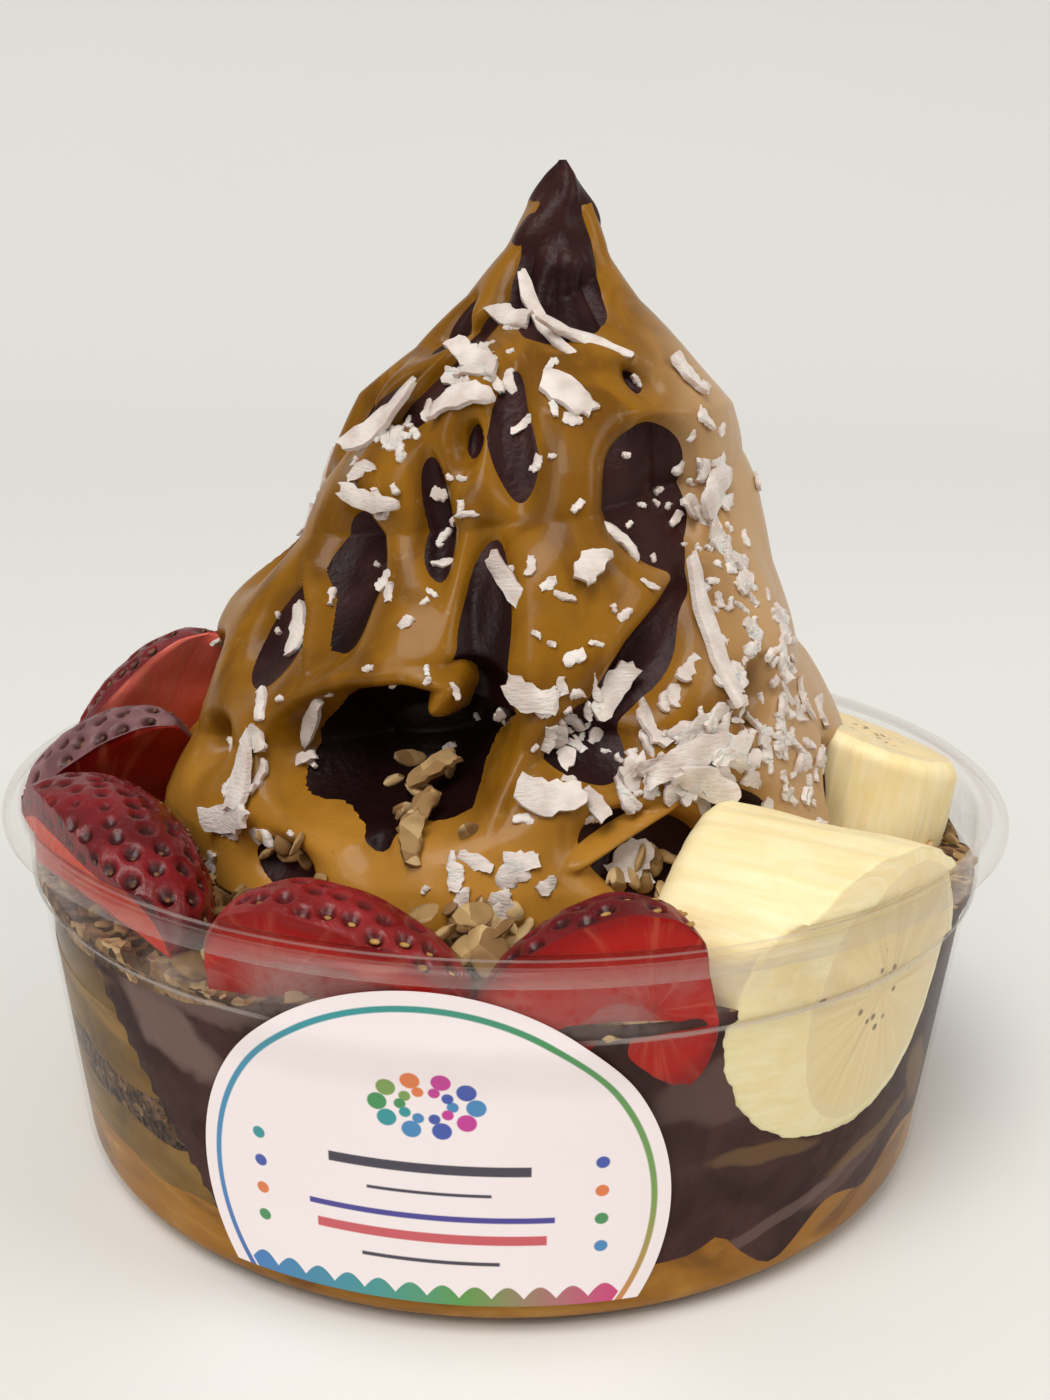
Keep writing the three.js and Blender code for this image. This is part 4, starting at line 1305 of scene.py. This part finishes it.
# Strips of oats stuck together that stand in the cave: turn from the level, lift, height
for turn, lift, height in ((62, 8, 66), (100, 7, 64), (40, 9, 70)):
    crumbs.append(lay(flake(8, 3.2, 1.5), -101 - lift / 4, height, turn, lift))
print(len(crumbs), "crumbs in all")
oats_shape = joined(crumbs)
loose_look = grains(
    "loose_oats", (0.24, 0.13, 0.05), (0.46, 0.3, 0.13), (0.62, 0.45, 0.24), 0.0035, 0.45,
)
piece("loose_oats", oats_shape, [loose_look], ["granola"], sharp=60)

# %% [markdown]
# ## Strawberries
# Each berry is halved, hulled and pushed into the acai. Its skin is puffed between the seeds,
# and each seed sits in a dimple. A smooth egg cut by a plane would do from afar, but here the
# shape is spun finely, its lower half is flattened onto the cut plane, and every seed presses
# a dimple into the points round it. The seeds are small pressed balls in those dimples.

# %% Places of the strawberries
# A pose is a place in millimetres and three turns in degrees, as in the packed model
STRAWBERRIES = {
    name: dict(length=length, width=width, spare=spare, at=at, turns=turns)
    for name, length, width, spare, at, turns in (
        ("strawberry_front_left", 37, 28, 1, (-19, -69.5, 47.9), (-72, 3, -17)),
        ("strawberry_front_right", 32, 29, 1, (11, -73, 48.2), (80, 12, 189)),
        ("strawberry_left", 44, 31, 2, (-54, -45.5, 51.5), (-48, -3, -52)),
        ("strawberry_left_dark", 31, 25, 1, (-59.5, -17, 57.5), (-40, -50, -20)),
        ("strawberry_left_back", 36, 28, 0, (-57, 4, 62), (-45, -62, -10)),
        ("strawberry_back", 36, 28, 1, (-6, 63, 52), (-50, 8, 178)),
        ("strawberry_back_left", 38, 29, 1, (-44, 44, 54), (-55, -6, 226)),
    )
}
BERRY_STEPS = 200
BERRY_ROWS = 110
BERRY_OUTLINE = np.array([
    (0, 0.02), (0.45, 0.0), (0.8, 0.09), (0.99, 0.28), (0.92, 0.52), (0.7, 0.76), (0.38, 0.93), (0, 1),
])
SEED_SPACING = 3.7
DIMPLE_DEPTH = 0.95
DIMPLE_SIZE = 1.25
# Half the length, width and height of a seed, and how far it stands over its dimple's floor
SEED_HALVES = (0.78, 0.5, 0.34)
SEED_STANDS = 0.25
PRESSED_IN_WALL = 0.35
OVER_RIM_RADIUS = 77.5
print(len(STRAWBERRIES), "halves")

# %% Helpers for all the fruit
def smooth_outline(corners, rows):
    """A smooth line through a few corner points, closed tangent to the axis at both ends."""
    steps = np.concatenate([[0], np.cumsum(np.hypot(*np.diff(corners, axis=0).T))])
    even = np.linspace(0, steps[-1], rows)
    line = np.stack([np.interp(even, steps, corners[:, axis]) for axis in (0, 1)], 1)
    for _ in range(rows // 6):
        line[1:-1] = (line[:-2] + 2 * line[1:-1] + line[2:]) / 4
    line[[0, -1], 0] = 0
    return line


def set_down(places, pose):
    """Moves a fruit's own points to its place, and presses it flat against the plastic."""
    turn = np.array(Euler([math.radians(angle) for angle in pose["turns"]]).to_matrix())
    moved = places @ turn.T + np.array(pose["at"])
    radius = np.hypot(moved[:, 0], moved[:, 1])
    wall = inner_radius(moved[:, 2]) + PRESSED_IN_WALL
    limit = wall + (OVER_RIM_RADIUS - wall) * smoothstep(moved[:, 2], RIM_TOP - 0.2, RIM_TOP + 1.2)
    moved[:, :2] *= np.minimum(1, limit / np.maximum(radius, 1))[:, None]
    return moved


print("fruit reaches", PRESSED_IN_WALL, "mm into the wall")

# %% Seeds of a strawberry
def seed_places(pose, outline, own):
    """Where the seeds sit on the whole berry, in rows round it; those that the cut takes go."""
    long, half = pose["length"], pose["width"] / 2
    turns = int(math.pi * half * 2 / SEED_SPACING)
    seeds = []
    for row in range(int(long / (SEED_SPACING * 0.8))):
        row_at = -long / 2 + (row + 0.8) * SEED_SPACING * 0.8
        ring = float(np.interp(row_at, outline[:, 1] - long / 2, outline[:, 0]))
        count = max(3, round(turns * ring / half))
        for number in range(count):
            bearing = FULL_TURN * (number + 0.5 * (row % 2)) / count + own.uniform(-0.06, 0.06)
            shifted = row_at + own.uniform(-0.4, 0.4)
            seeds.append((shifted, ring * math.cos(bearing), ring * math.sin(bearing)))
    return np.array([seed_at for seed_at in seeds if seed_at[2] > -pose["spare"] + 0.8])


def kernel_at(seed_at, pose):
    """One seed, a small pressed ball lying along the berry in its dimple."""
    outward = np.array([0.1 * seed_at[0] / pose["length"], seed_at[1], seed_at[2]])
    outward /= np.linalg.norm(outward)
    kernel = bmesh.new()
    bmesh.ops.create_icosphere(kernel, subdivisions=1, radius=1)
    kernel_points = points_of(kernel) * MM * np.array(SEED_HALVES)
    basis = np.array([(1, 0, 0), np.cross(outward, (1, 0, 0)), outward])
    kernel_places = kernel_points @ basis + seed_at - outward * (DIMPLE_DEPTH - SEED_STANDS)
    move_points(kernel, set_down(kernel_places, pose))
    for face in kernel.faces:
        face.material_index = 2
    return kernel


print("a seed is", 2 * SEED_HALVES[0], "mm long")

# %% Halve a strawberry
def strawberry(pose, seed):
    long, half = pose["length"], pose["width"] / 2
    outline = smooth_outline(BERRY_OUTLINE * (half, long), BERRY_ROWS)
    shape = spun([(radius, row - long / 2) for radius, row in outline], BERRY_STEPS)
    at = points_of(shape)
    angle = np.arctan2(at[:, 1], at[:, 0])
    radius, along = np.hypot(at[:, 0], at[:, 1]), at[:, 2]
    own = np.random.RandomState(seed)
    lumps = 1 + 0.045 * np.sin(angle * 2 + own.uniform(0, 6)) + 0.03 * np.sin(angle * 3 + along / 7)
    radius = radius * lumps
    cut_angle = -np.arcsin(np.clip(pose["spare"] / np.maximum(radius, 1e-6), 0, 1))
    upper = angle >= 0
    share = np.where(upper, angle / np.pi, -angle / np.pi)
    swept = cut_angle + share * (np.pi - 2 * cut_angle)
    edge = radius * np.cos(cut_angle)
    side = np.where(upper, radius * np.cos(swept), edge * np.cos(share * np.pi))
    chord = np.clip(1 - np.abs(side) / np.maximum(edge, 1e-6), 0, 1)
    face_relief = 0.35 * smoothstep(chord, 0, 0.25)
    face_relief = face_relief + 0.25 * wobble(side, along, along, 4) * smoothstep(chord, 0, 0.1)
    low = -np.minimum(pose["spare"], radius) - np.where(radius > 1, face_relief, 0)
    rise = np.where(upper, radius * np.sin(swept), low)
    places = np.stack([along, side, rise], 1)

    seeds = seed_places(pose, outline, own)
    away = np.full(len(places), 9.0)
    for seed_at in seeds:
        away = np.minimum(away, np.linalg.norm(places - seed_at, axis=1))
    normal = np.stack([0.25 * along / long, side, rise], 1)
    normal /= np.maximum(np.linalg.norm(normal, axis=1), 1e-6)[:, None]
    pit = np.exp(-((away / DIMPLE_SIZE) ** 4))
    dent = DIMPLE_DEPTH * pit - 0.15 * np.exp(-(((away - 1.6) / 0.5) ** 2))
    on_skin = upper & (share > 0.015) & (share < 0.985)
    places -= normal * np.where(on_skin, dent, 0)[:, None]

    maps = {"fruit": places[:, :2] / long, "pits": np.stack([pit * on_skin, chord], 1)}
    on_cut = set(np.nonzero(~upper | (share < 1e-4) | (share > 1 - 1e-4))[0])
    for face in shape.faces:
        face.material_index = 1 if all(vertex.index in on_cut for vertex in face.verts) else 0
    move_points(shape, set_down(places, pose))

    return joined([shape] + [kernel_at(seed_at, pose) for seed_at in seeds]), maps


print("a whole berry is spun in", BERRY_STEPS, "steps and", BERRY_ROWS, "rows")

# %% [markdown]
# The skin is deep red and glossy, with a paler shoulder; the cut face is wetter and brighter,
# with fine pale streaks that run out from its core. Both patterns follow the berry's own
# coordinates, kept as a UV map, so they lie the right way on every berry.

# %% Strawberry looks
def berry_skin(name, dark, bright, pit_shade, gloss=0.26):
    shade = Shade(name)
    spot = shade.place()
    along, _, _ = shade.axes(shade.node("UVMap", {"uv_map": "fruit"}))
    pit, _, _ = shade.axes(shade.node("UVMap", {"uv_map": "pits"}))
    patch = shade.noise(spot, 0.007, 3)
    tone = shade.mix(patch.ramp(0.35, 0.65), dark, bright)
    tone = shade.mix(along.ramp(-0.34, -0.5) * 0.4, tone, (0.42, 0.1, 0.06))
    # Painted shade: the dimples round the seeds are painted darker.
    tone = shade.mix(pit.ramp(0.15, 0.75), tone, pit_shade)
    fine = shade.noise(spot, 0.0006, 2)
    shade.done(shade.surface(
        Base_Color=tone, Roughness=patch * 0.25 + gloss, Coat_Weight=0.12, Coat_Roughness=0.2,
        Specular_IOR_Level=0.3,
        Normal=shade.bump(fine, 0.0001),
    ))
    return shade.material


def berry_flesh(name, deep, bright, streaks):
    shade = Shade(name)
    spot = shade.place()
    along, side, _ = shade.axes(shade.node("UVMap", {"uv_map": "fruit"}))
    _, inward, _ = shade.axes(shade.node("UVMap", {"uv_map": "pits"}))
    fan = side.math("ARCTAN2", side, along + 0.25)
    bearing = shade.node("CombineXYZ", None, {"X": fan * 5, "Y": inward * 0.7, "Z": 0.0})
    rays = shade.noise(bearing, 1.0, 3, 0.6)
    tone = shade.mix(inward.ramp(0.02, 0.3), deep, bright)
    tone = shade.mix(rays.ramp(0.5, 0.72) * streaks, tone, (0.66, 0.2, 0.1))
    wet = shade.noise(spot, 0.003, 3)
    shade.done(shade.surface(
        Base_Color=tone, Roughness=wet * 0.25 + 0.18, Coat_Weight=0.1, Coat_Roughness=0.12,
        Specular_IOR_Level=0.12,
        Normal=shade.bump(rays * 0.6 + wet * 0.6, 0.0003),
    ))
    return shade.material


def seed_look(name, dark, pale):
    shade = Shade(name)
    own = shade.noise(shade.place(), 0.004, 1)
    tone = shade.mix(own.ramp(0.35, 0.65), dark, pale)
    shade.done(shade.surface(Base_Color=tone, Roughness=own * 0.3 + 0.45))
    return shade.material


print("dimples are", DIMPLE_DEPTH, "mm deep")

# %% Dress the strawberries
RED_SKIN = berry_skin("strawberry_skin", (0.11, 0.002, 0.004), (0.19, 0.004, 0.007), (0.04, 0.001, 0.002))
ROSY_SKIN = berry_skin(
    "rosy_strawberry_skin", (0.18, 0.005, 0.006), (0.27, 0.015, 0.016), (0.09, 0.003, 0.003),
)
DARK_SKIN = berry_skin(
    "dark_strawberry_skin", (0.14, 0.055, 0.062), (0.25, 0.12, 0.125), (0.05, 0.006, 0.007), 0.4,
)
RED_FLESH = berry_flesh("strawberry_flesh", (0.26, 0.003, 0.002), (0.42, 0.009, 0.004), 0.25)
SCARLET_FLESH = berry_flesh("scarlet_strawberry_flesh", (0.5, 0.06, 0.03), (0.5, 0.03, 0.012), 0.4)
ORANGE_FLESH = berry_flesh("orange_strawberry_flesh", (0.86, 0.2, 0.15), (0.84, 0.16, 0.12), 0.6)
DARK_FLESH = berry_flesh("dark_strawberry_flesh", (0.13, 0.003, 0.003), (0.26, 0.012, 0.006), 0.25)
BROWN_SEEDS = seed_look("brown_strawberry_seeds", (0.09, 0.03, 0.012), (0.2, 0.085, 0.03))
YELLOW_SEEDS = seed_look("yellow_strawberry_seeds", (0.3, 0.14, 0.03), (0.5, 0.28, 0.07))
BERRY_LOOKS = {
    "strawberry_front_left": (ROSY_SKIN, RED_FLESH, YELLOW_SEEDS),
    "strawberry_front_right": (RED_SKIN, RED_FLESH, YELLOW_SEEDS),
    "strawberry_left": (RED_SKIN, SCARLET_FLESH, BROWN_SEEDS),
    "strawberry_left_dark": (DARK_SKIN, DARK_FLESH, BROWN_SEEDS),
    "strawberry_left_back": (RED_SKIN, ORANGE_FLESH, BROWN_SEEDS),
    "strawberry_back": (RED_SKIN, RED_FLESH, YELLOW_SEEDS),
    "strawberry_back_left": (ROSY_SKIN, ORANGE_FLESH, YELLOW_SEEDS),
}
for number, (name, pose) in enumerate(STRAWBERRIES.items()):
    berry_name = name.replace("strawberry", "halved_strawberry")
    berry, maps = strawberry(pose, number)
    piece(berry_name, berry, BERRY_LOOKS[name], [name], 55, maps)

# %% [markdown]
# ## Banana
# The banana is peeled and cut across into thick pieces. A slice has a soft fibrous flank with
# shallow ridges along it, and a cut face in three lobes round a core of tiny seeds. The slice
# is spun finely with rings across each cut face, and formulas then raise the lobes and ridges.

# %% Places of the banana slices
BANANAS = {
    name: dict(thick=thick, width=width, height=height, oblique=oblique, at=at, turns=turns)
    for name, thick, width, height, oblique, at, turns in (
        ("banana_front", 36, 41, 42, 0.1, (40.3, -52, 44.6), (0, 4, -24)),
        ("banana_right", 29, 28, 28, 0.12, (57, -6, 50.5), (0, -80, 15)),
        ("banana_right_back", 13, 30, 31, 0.2, (52, 33, 50), (0, -62, 34)),
        ("banana_back", 14, 31, 30, -0.2, (33, 55, 53), (0, -28, 62)),
    )
}
SLICE_STEPS = 168
SLICE_RINGS = 16
SLICE_ROWS = 34
SOFT_RIM = 2.5
CUT_FROM = 0.985
FIRST_DRAW = 20
print(len(BANANAS), "slices")

# %% Cut a banana slice
def banana(pose, seed):
    half = pose["thick"] / 2
    wide, tall = pose["width"] / 2, pose["height"] / 2
    soft = SOFT_RIM / wide
    rim = arc((1 - soft, 0), soft, -90, 0, 5)
    face = [(ring / SLICE_RINGS * (1 - soft), 0) for ring in range(SLICE_RINGS)]
    low = [(out, -1) for out, _ in face] + [(out, -1 + (up + soft) * wide / half) for out, up in rim]
    rows = range(1 - SLICE_ROWS, SLICE_ROWS)
    flank = [(1, row / SLICE_ROWS * (half - SOFT_RIM) / half) for row in rows]
    high = [(out, -up) for out, up in reversed(low)]
    shape = spun(low + flank + high, SLICE_STEPS)
    at = points_of(shape)
    angle = np.arctan2(at[:, 1], at[:, 0])
    out, along = np.hypot(at[:, 0], at[:, 1]), at[:, 2]
    own = np.random.RandomState(seed)
    phase = own.uniform(0, 6)
    ridges = 0.022 * np.abs(np.sin(2.5 * angle + phase)) + 0.006 * np.sin(23 * angle + 2 * along + phase)
    fibres = 0.004 * np.sin(61 * angle + 5 * along)
    scale = 1 - 0.02 + (ridges + fibres) * smoothstep(out, 0.6, 1)
    side, up = out * scale * np.cos(angle) * wide, out * scale * np.sin(angle) * tall
    lobes = 0.45 * np.cos(3 * angle + phase) * out * (1 - out) * 4
    core = -0.5 * np.exp(-((out / 0.16) ** 2))
    saw = 0.22 * wobble(side, up, 3 * side, 3.2)
    on_face = smoothstep(np.abs(along), CUT_FROM, 1.0)
    reach = along * half + np.sign(along) * on_face * (lobes + core + saw) * smoothstep(1 - out, 0, 0.12)
    dents = 0.35 * wobble(reach, side, up, 6) * smoothstep(out, 0.8, 1)
    slanted = reach + up * pose["oblique"]
    places = np.stack([slanted, side * (1 + dents / wide), up * (1 + dents / tall)], 1)
    on_cut = np.stack([side / wide, up / tall], 1) * 0.5
    maps = {"fruit": on_cut, "flank": np.stack([np.abs(angle), along], 1)}
    for face in shape.faces:
        on_end = all(abs(along[vertex.index]) > CUT_FROM for vertex in face.verts)
        face.material_index = 1 if on_end else 0
    move_points(shape, set_down(places, pose))
    return shape, maps


print("a slice is spun in", SLICE_STEPS, "steps")

# %% [markdown]
# Banana flesh is pale cream outside and yellower within. Its flank shows fine fibres along the
# fruit, and its cut face shows clearer rays between the lobes, with brown specks at the core.

# %% Look of the flank
flank_look = Shade("banana_flank")
spot = flank_look.place()
turn, along, _ = flank_look.axes(flank_look.node("UVMap", {"uv_map": "flank"}))
across_threads = flank_look.node("CombineXYZ", None, {"X": turn * 11, "Y": along * 1.6, "Z": 0.0})
threads = flank_look.noise(across_threads, 1.0, 3, 0.5)
patch = flank_look.noise(spot, 0.009, 3)
tone = flank_look.mix(threads.ramp(0.35, 0.65), (0.9, 0.75, 0.4), (0.94, 0.81, 0.5))
tone = flank_look.mix(patch.ramp(0.5, 0.72) * 0.4, tone, (0.86, 0.67, 0.28))
flank_look.done(flank_look.surface(
    Base_Color=tone, Roughness=patch * 0.3 + 0.35, Subsurface_Weight=0.2, Subsurface_Scale=0.004,
    Normal=flank_look.bump(threads * 0.5 + patch * 0.6, 0.0004),
))
print("flank", len(flank_look.tree.nodes), "nodes")

# %% Look of the cut, and the slices
cut_look = Shade("banana_cut")
spot = cut_look.place()
side, up, _ = cut_look.axes(cut_look.node("UVMap", {"uv_map": "fruit"}))
out = (side ** 2 + up ** 2) ** 0.5 * 2
fan = side.math("ARCTAN2", up, side)
round_face = {"X": fan.sin() * 7, "Y": fan.math("COSINE", fan) * 7, "Z": out * 0.8}
rays = cut_look.noise(cut_look.node("CombineXYZ", None, round_face), 1.0, 3, 0.6)
seam = (fan * 1.5).sin().abs().ramp(0.16, 0.0) * out.ramp(0.75, 0.3)
tone = cut_look.mix(rays.ramp(0.35, 0.65), (0.8, 0.62, 0.3), (0.86, 0.7, 0.38))
tone = cut_look.mix(out.ramp(0.75, 0.97), tone, (0.82, 0.68, 0.4))
tone = cut_look.mix(seam * 0.3, tone, (0.55, 0.36, 0.13))
specks = cut_look.cells(spot, 0.0022).ramp(0.3, 0.16) * out.ramp(0.42, 0.26)
tone = cut_look.mix(specks * 0.8, tone, (0.1, 0.045, 0.02))
cut_look.done(cut_look.surface(
    Base_Color=tone, Roughness=rays * 0.2 + 0.3, Subsurface_Weight=0.2, Subsurface_Scale=0.004,
    Coat_Weight=0.15, Normal=cut_look.bump(rays * 0.4, 0.0002),
))
for number, (name, pose) in enumerate(BANANAS.items()):
    slice_name = name.replace("banana", "banana_slice")
    cut, maps = banana(pose, FIRST_DRAW + number)
    piece(slice_name, cut, [flank_look.material, cut_look.material], [name], 60, maps)

# %% [markdown]
# The dressed model has to stay inside the packed model's box.
